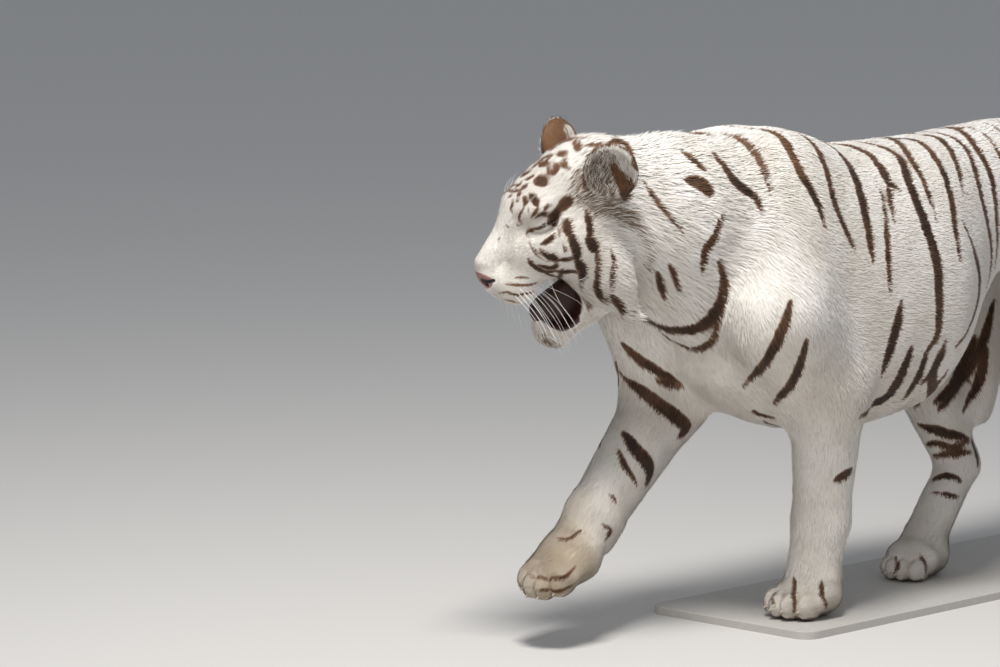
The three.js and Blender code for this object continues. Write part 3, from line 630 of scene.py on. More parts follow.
def walk_to_form(vertices, normals, fine, rounds=3):
    for _ in range(rounds):
        gap = np.clip(melted(vertices, fine), -WALK, WALK)
        vertices = vertices - normals * gap[:, None]
    return vertices


def mesh_arrays(mesh):
    vertices = np.empty(len(mesh.vertices) * 3)
    mesh.vertices.foreach_get("co", vertices)
    normals = np.empty(len(mesh.vertices) * 3)
    mesh.vertices.foreach_get("normal", normals)
    return vertices.reshape(-1, 3), normals.reshape(-1, 3)


def subdivide(mesh, chosen):
    """Split the faces whose middle is chosen, each edge in two."""
    work = bmesh.new()
    work.from_mesh(mesh)
    middles = np.array([f.calc_center_median() for f in work.faces])
    picked = chosen(middles)
    edges = {e for f, yes in zip(work.faces, picked) if yes for e in f.edges}
    bmesh.ops.subdivide_edges(work, edges=list(edges), cuts=1, use_grid_fill=True)
    work.to_mesh(mesh)
    work.free()


def in_head_region(points, back, low=-400.0):
    h = to_head(points)
    return (h[:, 0] > back) & (h[:, 2] > low) & (np.abs(h[:, 1]) < HEAD_SIDE)


def in_paws(points):
    raised = np.linalg.norm(points - RAISED_MIDDLE, axis=1) < RAISED_REACH
    return (points[:, 2] < PAW_TOP) | raised


body_mesh = bpy.data.meshes.new("skin")
body_mesh.from_pydata(net_vertices.tolist(), [], net_quads.tolist())
body_mesh.update()
subdivide(body_mesh, lambda p: in_head_region(p, -345) | in_paws(p))
for fine in (False, True):
    v, n = mesh_arrays(body_mesh)
    v = walk_to_form(v, n, fine)
    body_mesh.vertices.foreach_set("co", v.ravel())
    body_mesh.update()
    if not fine:
        subdivide(body_mesh, lambda p: in_head_region(p, -200, -120) & (to_head(p)[:, 0] < 30))
v, n = mesh_arrays(body_mesh)
body_mesh.vertices.foreach_set("co", walk_to_form(v, n, True, 2).ravel())
body_mesh.update()
for polygon in body_mesh.polygons:
    polygon.use_smooth = True
SKIN, SKIN_NORMALS = mesh_arrays(body_mesh)
print(f"skin: {len(SKIN)} vertices, {len(body_mesh.polygons)} faces, {time.time() - STARTED:.1f} s")

# %% [markdown]
# ## How each place on the skin wears its coat
#
# A hair's length, width, gap and lift, and the way it lies, are taken from the masses near it,
# each weighted by how close its surface is. So the long hair of the ruff fades into the short
# hair of the cheek, and the lie of the coat turns smoothly from the neck into the foreleg.

# %% Coat at a place
NEAR = 14.0  # how far a mass makes itself felt beyond its surface


def coat_at(points):
    """Length, width, spacing and lift, and the lie as a vector, for each point on the skin."""
    total = np.full(len(points), 1e-9)
    looks = np.zeros((len(points), 4))
    lies = np.zeros((len(points), 3))
    from_nose = points - on_head([6, 0, 10])
    from_nose /= np.linalg.norm(from_nose, axis=1)[:, None]
    for m in masses:
        near = within(points, m["low"], m["high"])
        if not len(near):
            continue
        depth, *look_of = COATS[m["coat"]]
        gap = np.maximum(m["field"](points[near], depth), 0.0)
        weight = np.exp(-gap / NEAR)
        total[near] += weight
        looks[near] += weight[:, None] * look_of
        if isinstance(m["lie"], str):
            lies[near] += weight[:, None] * from_nose[near]
        else:
            way = np.asarray(m["lie"], float)
            lies[near] += weight[:, None] * way / np.linalg.norm(way)
    lies /= np.linalg.norm(lies, axis=1)[:, None] + 1e-9
    return looks / total[:, None], lies


def wave(points, size, seed):
    """Smooth noise between -1 and 1 with features about size millimetres across."""
    ways = np.random.default_rng(seed).normal(size=(5, 3))
    phase = np.random.default_rng(seed + 1).uniform(0, 6.28, 5)
    return np.sin(points @ ways.T * (2.2 / size) + phase).sum(1) / 3.2


SKIN_LOOKS, SKIN_LIES = coat_at(SKIN)
print("coat looks:", SKIN_LOOKS.min(0).round(1), SKIN_LOOKS.max(0).round(1))

# %% [markdown]
# ## Stripes
#
# A tiger's stripes are its fingerprint, so each one that the camera sees is placed one by one,
# as a painter would: a few points of the view and a width. A ray through each point finds its
# place on the skin. They are spindles, thin at both ends, and their edges wander.

# %% From the view onto the skin
from mathutils.bvhtree import BVHTree

VIEW_SIZE = (1000, 667)  # the points below count from the top left corner of a view this large
VIEW_FOCUS = camera_data.lens / camera_data.sensor_width * VIEW_SIZE[0]
skin_tree = BVHTree.FromPolygons(SKIN.tolist(), [list(p.vertices) for p in body_mesh.polygons])


def from_frame(place):
    """The frame's metres back to animal millimetres."""
    return np.asarray(place, float) * [-1000, -1000, 1000] - CENTRE


EYE_OF_VIEW = from_frame(EYE_POINT)
VIEW_GRAIN = np.linalg.norm(EYE_OF_VIEW - [500, 0, 600]) / VIEW_FOCUS  # millimetres to a point


def view_ray(point):
    x, y = point
    way = LOOK * VIEW_FOCUS + VIEW_RIGHT * (x - VIEW_SIZE[0] / 2) - VIEW_UP * (y - VIEW_SIZE[1] / 2)
    return Vector((-way.x, -way.y, way.z)).normalized()


def cast(points):
    """The place on the skin behind each point of the view; beside the outline, the nearest."""
    rays = [view_ray(point) for point in points]
    eye = Vector(EYE_OF_VIEW)
    hits = [skin_tree.ray_cast(eye, ray) for ray in rays]
    reach = [hit[3] for hit in hits if hit[0] is not None]
    middle = sum(reach) / len(reach) if reach else (eye - Vector((600, 0, 700))).length
    return np.array([
        hit[0] if hit[0] is not None else skin_tree.find_nearest(eye + ray * middle)[0]
        for hit, ray in zip(hits, rays)
    ])


print("a point of the view is", round(VIEW_GRAIN, 2), "mm on the animal")

# %% [markdown]
# The stripes of the flank and the neck are given again to the far side, shifted, because no
# tiger's two sides match. Those of the legs, the throat and the back of the belly belong to one
# side only, as does the painted shade between the toes.

# %% Stripes that the camera sees: width, then points of the view
FLANK_STRIPES = [
    (5, [(742, 142), (761, 165), (770, 195)]),
    (5.5, [(776, 134), (791, 153), (802, 176), (818, 206), (825, 229)]),
    (5, [(810, 142), (825, 168), (833, 199), (848, 237), (854, 250)]),
    (6.5, [(833, 149), (852, 172), (863, 206), (869, 237), (873, 263)]),
    (5, [(848, 146), (871, 157), (886, 180), (899, 191)]),
    (4, [(879, 187), (886, 225), (888, 260), (890, 294)]),
    (4, [(882, 168), (890, 200), (894, 225)]),
    (4.5, [(886, 138), (909, 157), (924, 184), (936, 222)]),
    (7, [(898, 157), (909, 184), (924, 222), (936, 260), (939, 298), (936, 336), (924, 355)]),
    (5.5, [(917, 142), (939, 165), (951, 199), (955, 229), (960, 263)]),
    (5, [(936, 138), (955, 161), (962, 195)]),
    (5, [(962, 222), (974, 252), (979, 282), (974, 313), (955, 347)]),
    (5, [(947, 128), (975, 147), (991, 178), (996, 215), (994, 269)]),
    (5, [(964, 147), (977, 181), (985, 215), (991, 253), (985, 291)]),
    (7, [(901, 301), (894, 336), (880, 378)]),
    (8, [(911, 347), (901, 374), (882, 400), (860, 416)]),
    (6, [(945, 340), (936, 366), (920, 385)]),
    (6, [(791, 301), (783, 328), (768, 359), (744, 387)]),
    (6, [(806, 340), (799, 366), (774, 404)]),
    (5, [(721, 214), (715, 233), (704, 252), (702, 275)]),
    (2.6, [(639, 178), (656, 202), (683, 233)]),
    (8, [(686, 181), (700, 185), (711, 196)]),
    (4.5, [(681, 152), (694, 162), (705, 173)]),
    (6, [(711, 153), (723, 168), (734, 184), (749, 195), (761, 212)]),
    (4, [(657, 270), (661, 284), (665, 298)]),
    (3.5, [(668, 262), (674, 274), (679, 290)]),
    (3, [(627, 132), (635, 129), (645, 127)]),
]
ONE_SIDE_STRIPES = [
    (7, [(717, 260), (723, 282), (721, 301), (704, 324), (681, 330), (658, 324), (643, 317)]),
    (5, [(724, 313), (709, 343), (688, 347), (662, 332)]),
    (6, [(622, 343), (643, 362), (677, 383)]),
    (8, [(622, 374), (652, 399), (671, 414), (686, 429), (690, 441)]),
    (5, [(656, 380), (679, 388)]),
    (8, [(623, 433), (637, 452), (650, 471), (656, 484)]),
    (4, [(618, 450), (625, 467), (637, 486)]),
    (3, [(610, 494), (616, 503)]),
    (6, [(834, 480), (851, 470)]),
    (6.5, [(926, 352), (918, 376), (902, 400)]),
    (7, [(938, 352), (932, 380), (918, 404)]),
    (6, [(640, 458), (649, 474), (655, 488)]),
    (6, [(994, 300), (985, 335), (972, 365), (955, 395)]),
    (7, [(975, 336), (966, 362), (952, 385), (935, 402)]),
    (7, [(986, 348), (981, 375), (972, 398)]),
    (5, [(947, 370), (932, 391), (915, 408)]),
    (5, [(963, 375), (951, 395), (938, 411)]),
    (4, [(976, 385), (968, 400), (962, 414)]),
    (6, [(919, 424), (940, 432), (968, 439)]),
    (4.5, [(925, 446), (936, 443), (951, 448), (969, 441)]),
    (4.5, [(931, 457), (951, 454), (971, 452)]),
    (4.5, [(931, 482), (944, 476), (962, 482)]),
    (3.5, [(932, 493), (950, 496), (968, 496)]),
    (3.5, [(977, 437), (979, 452), (977, 467)]),
]
# painted shade in the gaps between the toes, drawn like stripes
PAW_GAP_SHADE = [
    (6, [(601, 524), (610, 532), (604, 541)]),
    (5, [(551, 532), (568, 540), (582, 530)]),
    (5, [(523, 562), (542, 578), (563, 578), (576, 566)]),
    (4.6, [(534, 587), (553, 591), (572, 585)]),
    (6, [(794, 577), (793, 595), (794, 612)]),
    (6, [(821, 580), (822, 596), (826, 608)]),
    (3.4, [(775, 586), (773, 597), (775, 606)]),
    (5.5, [(896, 557), (898, 567), (896, 578)]),
    (5.5, [(920, 554), (925, 565), (927, 578)]),
]

# %% [markdown]
# The face is finest drawn of all: bars on the forehead, a dark tail to the eye, the folds of
# the cheek, and the rows that the whiskers grow from. Marks off the midline are mirrored, a
# little changed. Behind the ear runs a brown band, and a dark sickle of painted shade lies in
# the ear's hollow.

# %% Marks of the head, as the camera sees them
FACE_MARKS = [
    (10, [(536, 181), (541, 181), (547, 184)]), (4, [(550, 163), (549, 169), (551, 175)]),
    (5, [(554, 162), (557, 167), (556, 171), (553, 176)]), (8, [(560, 154), (565, 154)]),
    (4.5, [(565, 157), (565, 163), (567, 168), (570, 171)]), (7, [(573, 144), (578, 146), (579, 153)]),
    (3, [(556, 145), (565, 143), (572, 143)]), (4, [(541, 153), (548, 151), (556, 149)]),
    (5, [(529, 166), (535, 160), (545, 158), (554, 156)]), (6, [(541, 162), (544, 166), (549, 160)]),
    (6, [(521, 177), (526, 174), (531, 171)]), (4, [(525, 180), (530, 178), (534, 175)]),
    (3, [(508, 189), (512, 186), (517, 185)]), (4, [(516, 186), (521, 184)]), (5, [(523, 188), (527, 185)]),
    (3, [(506, 192), (515, 191), (522, 190)]), (4, [(518, 196), (521, 192)]),
    (6, [(530, 194), (533, 197), (536, 202), (538, 207)]),
    (3, [(538, 206), (537, 210), (534, 214), (531, 218)]), (5, [(523, 197), (526, 201), (525, 205)]),
    (2.5, [(525, 204), (523, 210), (520, 214), (519, 220), (522, 224)]),
    (2.5, [(512, 200), (513, 204), (511, 208), (513, 214)]), (2.5, [(508, 197), (512, 196)]),
    (3, [(517, 199), (518, 202)]), (6, [(536, 217), (542, 214), (547, 216)]),
    (3, [(543, 212), (547, 206), (551, 205)]), (1.5, [(528, 208), (529, 214)]),
    (10, [(571, 198), (566, 203), (560, 208)]), (8, [(562, 206), (557, 212), (553, 219), (549, 224)]),
    (4, [(529, 228), (531, 231), (533, 228)]), (2, [(530, 230), (526, 234), (529, 238)]),
    (3.2, [(530, 231), (538, 228), (546, 224), (555, 218)]),
    (6, [(555, 216), (554, 222), (556, 227)]), (2, [(557, 226), (559, 232), (559, 237)]),
    (5, [(541, 244), (546, 242), (552, 238), (554, 234)]), (2.5, [(563, 245), (565, 250), (565, 253)]),
    (1.6, [(529, 240), (531, 247), (536, 254), (542, 259), (548, 262)]),
    (1.2, [(533, 247), (538, 252), (543, 256)]),
    (5, [(540, 249), (546, 255), (553, 259), (560, 260)]), (4, [(559, 260), (568, 259), (575, 258)]),
    (5, [(549, 254), (554, 257), (558, 262)]),
    (5.5, [(528, 259), (532, 264), (537, 268), (543, 271), (549, 272), (556, 270)]),
    (5, [(555, 270), (562, 272), (570, 271), (579, 273)]),
    (5, [(539, 265), (545, 267), (552, 268), (557, 265), (554, 262)]),
    (5.5, [(545, 272), (551, 275), (558, 277)]), (4, [(558, 281), (561, 274), (563, 268)]),
    (6, [(560, 276), (561, 283), (562, 290)]), (7, [(568, 219), (567, 228), (571, 237)]),
    (8, [(570, 233), (574, 243), (577, 252), (577, 262)]),
    (8, [(576, 258), (580, 265), (583, 272), (581, 281)]),
    (3, [(580, 279), (581, 285), (582, 291)]),
    (6, [(586, 211), (589, 222), (590, 232), (588, 240)]), (8.5, [(587, 238), (592, 244), (597, 252)]),
    (5, [(596, 250), (598, 263), (598, 277), (597, 291)]), (6, [(595, 280), (599, 292), (606, 303)]),
    (5, [(586, 301), (590, 306), (588, 311)]), (5, [(611, 250), (614, 262), (613, 275), (611, 290)]),
    (7, [(611, 294), (616, 300), (622, 307), (624, 315)]),
    (2, [(505, 284), (512, 285), (520, 285), (530, 285), (538, 282)]),
    (2.2, [(499, 293), (507, 292), (515, 295), (524, 294), (533, 292)]),
    (1.8, [(515, 278), (522, 277), (528, 278)]), (1.8, [(503, 299), (512, 301), (518, 303)]),
    (2, [(498, 239), (500, 239)]), (1.6, [(506, 225), (509, 228)]), (1.6, [(517, 225), (519, 226)]),
]
EAR_MARKS_AND_HOLLOW_SHADE = [
    (7, [(588, 134), (600, 133), (611, 136), (620, 143), (628, 151), (634, 160), (637, 170)]),
    # painted shade: the dark sickle in the ear's hollow, as two strokes
    (9, [(613, 163), (619, 175), (624, 190), (627, 200)]),
    (7, [(627, 172), (631, 184), (630, 196)]),
]
PALE_MARKS = [(3, [(605, 142), (617, 153), (627, 167), (634, 180), (636, 192)])]
PEPPER_AND_RUFF_SHADE = [  # black-tipped hair over the temple and on the front of the ear, and painted shade behind the ruff
    (28, [(590, 152), (600, 166), (610, 184)]),
    (30, [(575, 180), (592, 196), (612, 208)]),
    (15, [(602, 206), (615, 213), (628, 222)]),
    # painted shade: the grey on the neck behind the ruff, drawn as peppered hair
    (4, [(632, 222), (638, 240), (643, 262)]),
    (7, [(560, 224), (566, 232), (568, 244)]),
    (10, [(540, 334), (547, 343), (556, 349)]),
]

# %% [markdown]
# The hindquarters, the hind legs and the tail carry bands that can be described by rule: they
# leave the spine, run down and a little back, and wrap the legs and the tail. The forelegs get
# a few on the sides that face right, and the tail ends in a dark tip.

# %% Stripes of the hindquarters and tail, by rule
RUMP_FIRST, RUMP_LAST, RUMP_STEP = -530, -1000, -52
BAND_OUT = 85.0  # how far from a limb's middle line its bands are drawn, before they are laid on
rng = np.random.default_rng(11)


def rump_stripes():
    made = []
    for i, x in enumerate(np.arange(RUMP_FIRST, RUMP_LAST, RUMP_STEP)):
        for side in (1, -1):
            x0 = x + rng.uniform(-14, 14)
            z_end = 640 - 90 * (i % 2) + rng.uniform(-30, 30)
            z = np.linspace(908, z_end, 6)
            y = side * np.interp(z, [500, 700, 850, 908], [168, 165, 120, 18])
            sway = np.linspace(0, 1, 6)
            made.append((rng.uniform(10, 14), np.c_[x0 + 26 * np.sin(sway * 3) - 30 * sway, y, z]))
    return made


def limb_bands(a, b, first, last, count, width, reach, facing):
    """Bands across a limb from a to b; reach is how far round they go, facing the middle."""
    a, b = np.asarray(a, float), np.asarray(b, float)
    axis = (b - a) / np.linalg.norm(b - a)
    facing = np.asarray(facing, float)
    facing = facing - axis * (facing @ axis)
    facing /= np.linalg.norm(facing)
    across = np.cross(axis, facing)
    made = []
    for t in np.linspace(first, last, count):
        t = t + rng.uniform(-0.3, 0.3) * (last - first) / count
        half = reach * rng.uniform(0.7, 1.1)
        lean = rng.uniform(-25, 25)
        points = []
        for turn in np.linspace(-half, half, 7):
            out = facing * math.cos(turn) + across * math.sin(turn)
            points.append(a + (b - a) * t + out * BAND_OUT + axis * lean * turn)
        made.append((width * rng.uniform(0.8, 1.2), np.array(points)))
    return made


def tail_rings():
    made = []
    for t in np.linspace(0.10, 0.93, 15):
        middle, ahead = tail_place(t), tail_place(t + 0.01)
        axis = (ahead - middle) / np.linalg.norm(ahead - middle)
        up = np.cross(axis, LEFTWARD)
        ring = [
            middle + (up * math.cos(a) + LEFTWARD * math.sin(a)) * tail_radius(t) * 0.9
            for a in np.linspace(-2.9, 2.9, 17)
        ]
        made.append((13 + 10 * t, np.array(ring)))
    made.append((60, np.array([tail_place(t) for t in (0.965, 0.98, 1.0)])))  # the dark tip
    return made


rule_stripes = rump_stripes() + tail_rings()
for side, leg in ((1, "hind_left"), (-1, "hind_right")):
    hip, knee, hock, foot, _ = LEGS[leg]
    rule_stripes += limb_bands(hip, knee, 0.55, 0.97, 3, 12, 1.2, (-0.5, side, 0))
    rule_stripes += limb_bands(knee, hock, 0.2, 0.95, 5, 11, 1.3, (-0.6, side, 0))
_, knee, hock, foot, _ = LEGS["hind_left"]
rule_stripes += limb_bands(hock, foot, 0.1, 0.7, 3, 8, 1.2, (-0.3, 1, 0))
rule_stripes += limb_bands(knee, hock, 0.2, 0.9, 4, 9, 1.0, (0, -1, 0))
for leg, facing in (("fore_right", (0.2, -1, 0)), ("fore_left", (0, -1, 0))):
    _, shoulder, elbow, wrist, _ = LEGS[leg]
    rule_stripes += limb_bands(shoulder, wrist, 0.42, 0.88, 3, 10, 0.8, facing)
print("stripes by rule:", len(rule_stripes))

# %% [markdown]
# Every stripe is smoothed, laid onto the skin, and kept as a chain of points with a half width
# at each. Then the depth of any place inside the nearest stripe can be measured. Keeping that
# depth, and not yes or no, lets an edge stay sharp between two vertices of the skin.

# %% Lay the stripes on the skin
BODY_GAIN, RULE_GAIN, FACE_GAIN = 2.05, 1.3, 1.4  # a spindle's middle over the width given for it
RIDGE_RISE = 60.0  # a stripe that starts this near the back's outline goes on over the spine
STROKE_STEP = 7.0  # the length of a link in a stroke's chain
OUTSIDE = 20.0  # depths are not followed further out of a stroke than this
MIDLINE = 12.0  # marks closer to the face's midline than this are not mirrored
strokes, pale_strokes, pepper_and_shade_strokes = [], [], []


def onto_skin(points):
    return np.array([skin_tree.find_nearest(Vector(p))[0] for p in points])


def add_stroke(points, width, layer=strokes):
    points = np.asarray(points, float)
    steps = max(int(np.linalg.norm(np.diff(points, axis=0), axis=1).sum() / STROKE_STEP), 3)
    chain = onto_skin([centripetal(points, t) for t in np.linspace(0, 1, steps + 1)])
    share = np.linspace(0.04, 0.96, steps + 1)
    layer.append((chain, width * 0.5 * np.sin(share * math.pi) ** 0.5))


def over_spine(places):
    """The stripe's places, begun on the spine if it starts close to it."""
    x, y, z = places[0]
    if x > 250 or z < ring_at(1, x) - RIDGE_RISE:
        return places
    return np.vstack([[x + 12, 4 * np.sign(y), z + 40], places])


for width, points in FLANK_STRIPES:
    near = cast(points)
    width *= VIEW_GRAIN * BODY_GAIN
    add_stroke(over_spine(near), width)
    far = near * [1, -1, 1]
    far[:, 0] += 16 * np.sin(far[:, 2] / 70) + rng.uniform(-16, 10)
    add_stroke(over_spine(far), width * rng.uniform(0.85, 1.2))
for width, points in ONE_SIDE_STRIPES:
    add_stroke(cast(points), width * VIEW_GRAIN * BODY_GAIN)
# the painted shade between the toes joins the stripes' layer
for width, points in PAW_GAP_SHADE:
    add_stroke(cast(points), width * VIEW_GRAIN)
for width, points in rule_stripes:
    add_stroke(points, width * RULE_GAIN)
HEAD_LAYERS = [
    (FACE_MARKS, strokes), (EAR_MARKS_AND_HOLLOW_SHADE, strokes), (PALE_MARKS, pale_strokes), (PEPPER_AND_RUFF_SHADE, pepper_and_shade_strokes),
]
for marks, layer in HEAD_LAYERS:
    for width, points in marks:
        near = cast(points)
        width_here = width * VIEW_GRAIN * FACE_GAIN
        add_stroke(near, width_here, layer)
        across_face = to_head(near)
        if across_face[:, 1].mean() > MIDLINE:
            change = [rng.uniform(-3, 3), 0, rng.uniform(-3, 3)]
            add_stroke([on_head(mirrored(p, -1) + change) for p in across_face], width_here, layer)
print("stripes:", len(strokes))


def depth_in(points, layer):
    """How deep in the layer's strokes each point is, in millimetres; below 0 it is outside."""
    depth = np.full(len(points), -OUTSIDE)
    for chain, half in layer:
        near = within(points, chain.min(0) - OUTSIDE - 2, chain.max(0) + OUTSIDE + 2)
        if not len(near):
            continue
        p = points[near]
        best = np.full(len(near), -OUTSIDE)
        for a, b, ha, hb in zip(chain[:-1], chain[1:], half[:-1], half[1:]):
            ab = b - a
            t = np.clip(((p - a) @ ab) / (ab @ ab + 1e-9), 0, 1)
            away = np.linalg.norm(p - a - t[:, None] * ab, axis=1)
            best = np.maximum(best, ha + (hb - ha) * t - away)
        depth[near] = np.maximum(depth[near], best)
    return depth


def stripe_depth(points):
    wander = 1.2 * wave(points, 16, 5) + 0.8 * wave(points, 7, 6)
    face = to_head(points)[:, 0] > -180
    depth = depth_in(points, strokes) + wander * np.where(face, 0.35, 1.0)
    return np.minimum(depth, 1.0 - depth_in(points, pale_strokes))


def pepper_and_shade_at(points):
    """Share of black-tipped hair, and of painted shade behind the ruff, from 0 to 1, with a soft and broken
    edge.
    """
    return np.clip(0.5 + depth_in(points, pepper_and_shade_strokes) / 16 + 0.25 * wave(points, 11, 51), 0, 1)


# %% [markdown]
# ## Bare skin and tints
#
# The nose leather, the lips, the lids' rims, the mouth and the pads are bare. The ears are
# pale inside at the rim and dark behind with a white spot, and painted shade darkens their
# hollows and the nostrils. The feet hold dust, the raised paw is tinted tan, and the underline
# turns tan as painted shade. Each of these is a mask that skin and coat both read.

# %% Masks
FACE_MIDDLE, FACE_REACH = [-100.0, 0.0, -20.0], 260.0  # all the bare skin of the head lies this near
NOSE_MIDDLE, NOSE_RADII = [-4.0, 0.0, -6.0], [32.0, 33.0, 19.0]
NOSE_EDGE, NOSE_SLOPE = 1.08, 7.0  # in shares of those radii, squared
LIPS_HALF, LIPS_TOP, THROAT_END = 40.0, -72.0, -175.0  # on the head: what lies inside the lips
INSIDE_DEPTH, LIP_DEPTH, LIP_RIM = 9.0, 2.5, 7.0  # how far around the open mouth flesh and lips show
LIP_CORNER = -128.0  # dark lips end here, at the corner of the mouth
LID_RIM = EYE_RADIUS + 9.0  # bare rims of the lids end this far from the eye's middle
EAR_BACK = 3.0  # the dark back of an ear begins here, just in front of its middle
EAR_SPOT, EAR_SPOT_AT = 15.0, (16.0, 26.0)  # the white spot's radius, and its place back and up
# the underline's share is painted shade, warm as if lit from the floor; the other shares are dust
DUST_AND_SHADE = {"everywhere": 0.12, "feet": 0.2, "raised paw": 0.72, "underline": 0.2}


def ramp(values, none, full):
    """0 up to none and 1 from full on, with a straight slope between them."""
    return np.clip((values - none) / (full - none), 0, 1)


def bare_at(points):
    """Columns: nose leather, flesh of the mouth, dark skin with painted shade in the nostrils and the ears'
    hollows; each from 0 to 1.
    """
    masks = np.zeros((len(points), 3))
    h = to_head(points)
    near = np.flatnonzero(np.linalg.norm(h - FACE_MIDDLE, axis=1) < FACE_REACH)
    p, q = points[near], h[near]
    nose = (((q - NOSE_MIDDLE) / NOSE_RADII) ** 2).sum(1)
    masks[near, 0] = np.clip((NOSE_EDGE - nose) * NOSE_SLOPE, 0, 1)
    mouth = mouth_distance(p)
    inside = (np.abs(q[:, 1]) < LIPS_HALF) & (q[:, 2] < LIPS_TOP) & (q[:, 0] > THROAT_END)
    masks[near, 1] = np.clip((np.where(inside, INSIDE_DEPTH, LIP_DEPTH) - mouth) * 0.6, 0, 1)
    dark = ramp(mouth, LIP_RIM, LIP_RIM - 2) * ramp(q[:, 0], LIP_CORNER, LIP_CORNER + 6)
    for side in (1, -1):
        eye = np.linalg.norm(p - on_head(mirrored(EYE_AT, side)), axis=1)
        rim = ramp(slit_distance(p, side), 4.5, 2.5) * (eye < LID_RIM)
        # painted shade: the nostrils and the ears' hollows are darkened like the lips and rims
        nostril_shade = np.clip((2.0 - nostril_distance(p, side)) * 0.6, 0, 1)
        cup = ear_cup_distance(p, side)
        ear_hollow_shade = np.clip(0.3 - cup * 0.12, 0, 1) * (cup < 3)
        dark = np.max([dark, rim, nostril_shade, ear_hollow_shade], axis=0)
    masks[near, 2] = dark
    for centre, size in pads:
        pad = np.clip((size - np.linalg.norm(points - centre, axis=1)) * 0.4, 0, 1)
        masks[:, 2] = np.maximum(masks[:, 2], pad * 0.8)
        masks[:, 0] = np.maximum(masks[:, 0], pad * 0.6)
    return masks


def marks_at(points):
    """Columns: depth in a stripe, how brown the stripe is, how far the white hair turns tan by dust and by
    painted shade along the underline.
    """
    depth = stripe_depth(points)
    h = to_head(points)
    on_ears = np.zeros(len(points), bool)
    for side in (1, -1):
        q = (points - on_head(mirrored(EAR_AT, side))) @ EARS[side]
        on_ear = (np.linalg.norm(q / [45, 60, 72], axis=1) < 1) & (h[:, 2] > 66)
        behind = on_ear & (q[:, 0] < EAR_BACK) & (ear_cup_distance(points, side) > 2.0)
        spot = np.linalg.norm(q[:, 1:] - [side * EAR_SPOT_AT[0], EAR_SPOT_AT[1]], axis=1) - EAR_SPOT
        depth = np.where(behind, np.minimum(spot, 2.6), depth)
        on_ears |= on_ear
    x, z = points[:, 0], points[:, 2]
    brown = np.clip(0.25 + 0.6 * ramp(z, 840, 910) + 0.25 * wave(points, 60, 9) + on_ears, 0, 1)
    feet = ramp(z, 170, 0) * DUST_AND_SHADE["feet"]
    raised = ramp(x, 445, 505) * (z < 300) * DUST_AND_SHADE["raised paw"]
    # painted shade: the hair under the belly and the chest turns tan, as in warm shade
    under = ramp(z, 620, 420) * ramp(z, 330, 420) * DUST_AND_SHADE["underline"]
    dust_and_shade = np.maximum(feet, raised) + under + DUST_AND_SHADE["everywhere"] + 0.14 * wave(points, 90, 13)
    dust_and_shade = np.clip(dust_and_shade, 0, 1)
    return np.stack([depth, brown, dust_and_shade], 1)


skin_marks, skin_bare = marks_at(SKIN), bare_at(SKIN)
print(f"share in stripes: {(skin_marks[:, 0] > 0).mean():.3f}, {time.time() - STARTED:.1f} s")

# %% [markdown]
# ## Materials
#
# Skin and coat take their colour from one shared group, so a stripe reads the same on both.
# It sharpens the depth in a stripe into an edge with a little noise, mixes the white from a
# cool tone and a tone of dust and painted shade, darkens the roots of the hair with painted
# shade, and tips some hair with black, which also paints shade on the neck behind the ruff.

# %% Small helpers for node trees
def feed(tree, socket, value):
    """Link the value if it is a socket, or else set it."""
    if isinstance(value, bpy.types.NodeSocket):
        tree.links.new(value, socket)
    else:
        socket.default_value = (*value, 1.0) if socket.type == "RGBA" else value


def fill(tree, node, **inputs):
    """Feed a node's inputs by name, with underscores for the blanks."""
    for key, value in inputs.items():
        feed(tree, node.inputs[key.replace("_", " ")], value)
    return node


def add_node(tree, kind, **inputs):
    return fill(tree, tree.nodes.new(kind), **inputs)


def maths(tree, operation, a, b=0.0, clamp=False):
    node = tree.nodes.new("ShaderNodeMath")
    node.operation, node.use_clamp = operation, clamp
    feed(tree, node.inputs[0], a)
    feed(tree, node.inputs[1], b)
    return node.outputs[0]


def mixed(tree, share, a, b):
    """Colour a where share is 0 and colour b where it is 1."""
    node = tree.nodes.new("ShaderNodeMix")
    node.data_type = "RGBA"
    for number, value in ((0, share), (6, a), (7, b)):
        feed(tree, node.inputs[number], value)
    return node.outputs[2]


def position(tree):
    return add_node(tree, "ShaderNodeNewGeometry").outputs["Position"]


def attribute(tree, name):
    node = tree.nodes.new("ShaderNodeAttribute")
    node.attribute_name = name
    return node.outputs["Vector"]


def split(tree, vector):
    return add_node(tree, "ShaderNodeSeparateXYZ", Vector=vector).outputs


def new_group(name, inputs, outputs):
    group = bpy.data.node_groups.new(name, "ShaderNodeTree")
    for direction, sockets in (("INPUT", inputs), ("OUTPUT", outputs)):
        for label, kind in sockets:
            group.interface.new_socket(label, in_out=direction, socket_type=kind)
    return group, group.nodes.new("NodeGroupInput"), group.nodes.new("NodeGroupOutput")


# %% The shared coat colours
# the dusty white is also the colour of the painted shade along the underline
COOL_WHITE, DUST_AND_SHADE_WHITE = (0.85, 0.83, 0.795), (0.42, 0.34, 0.24)
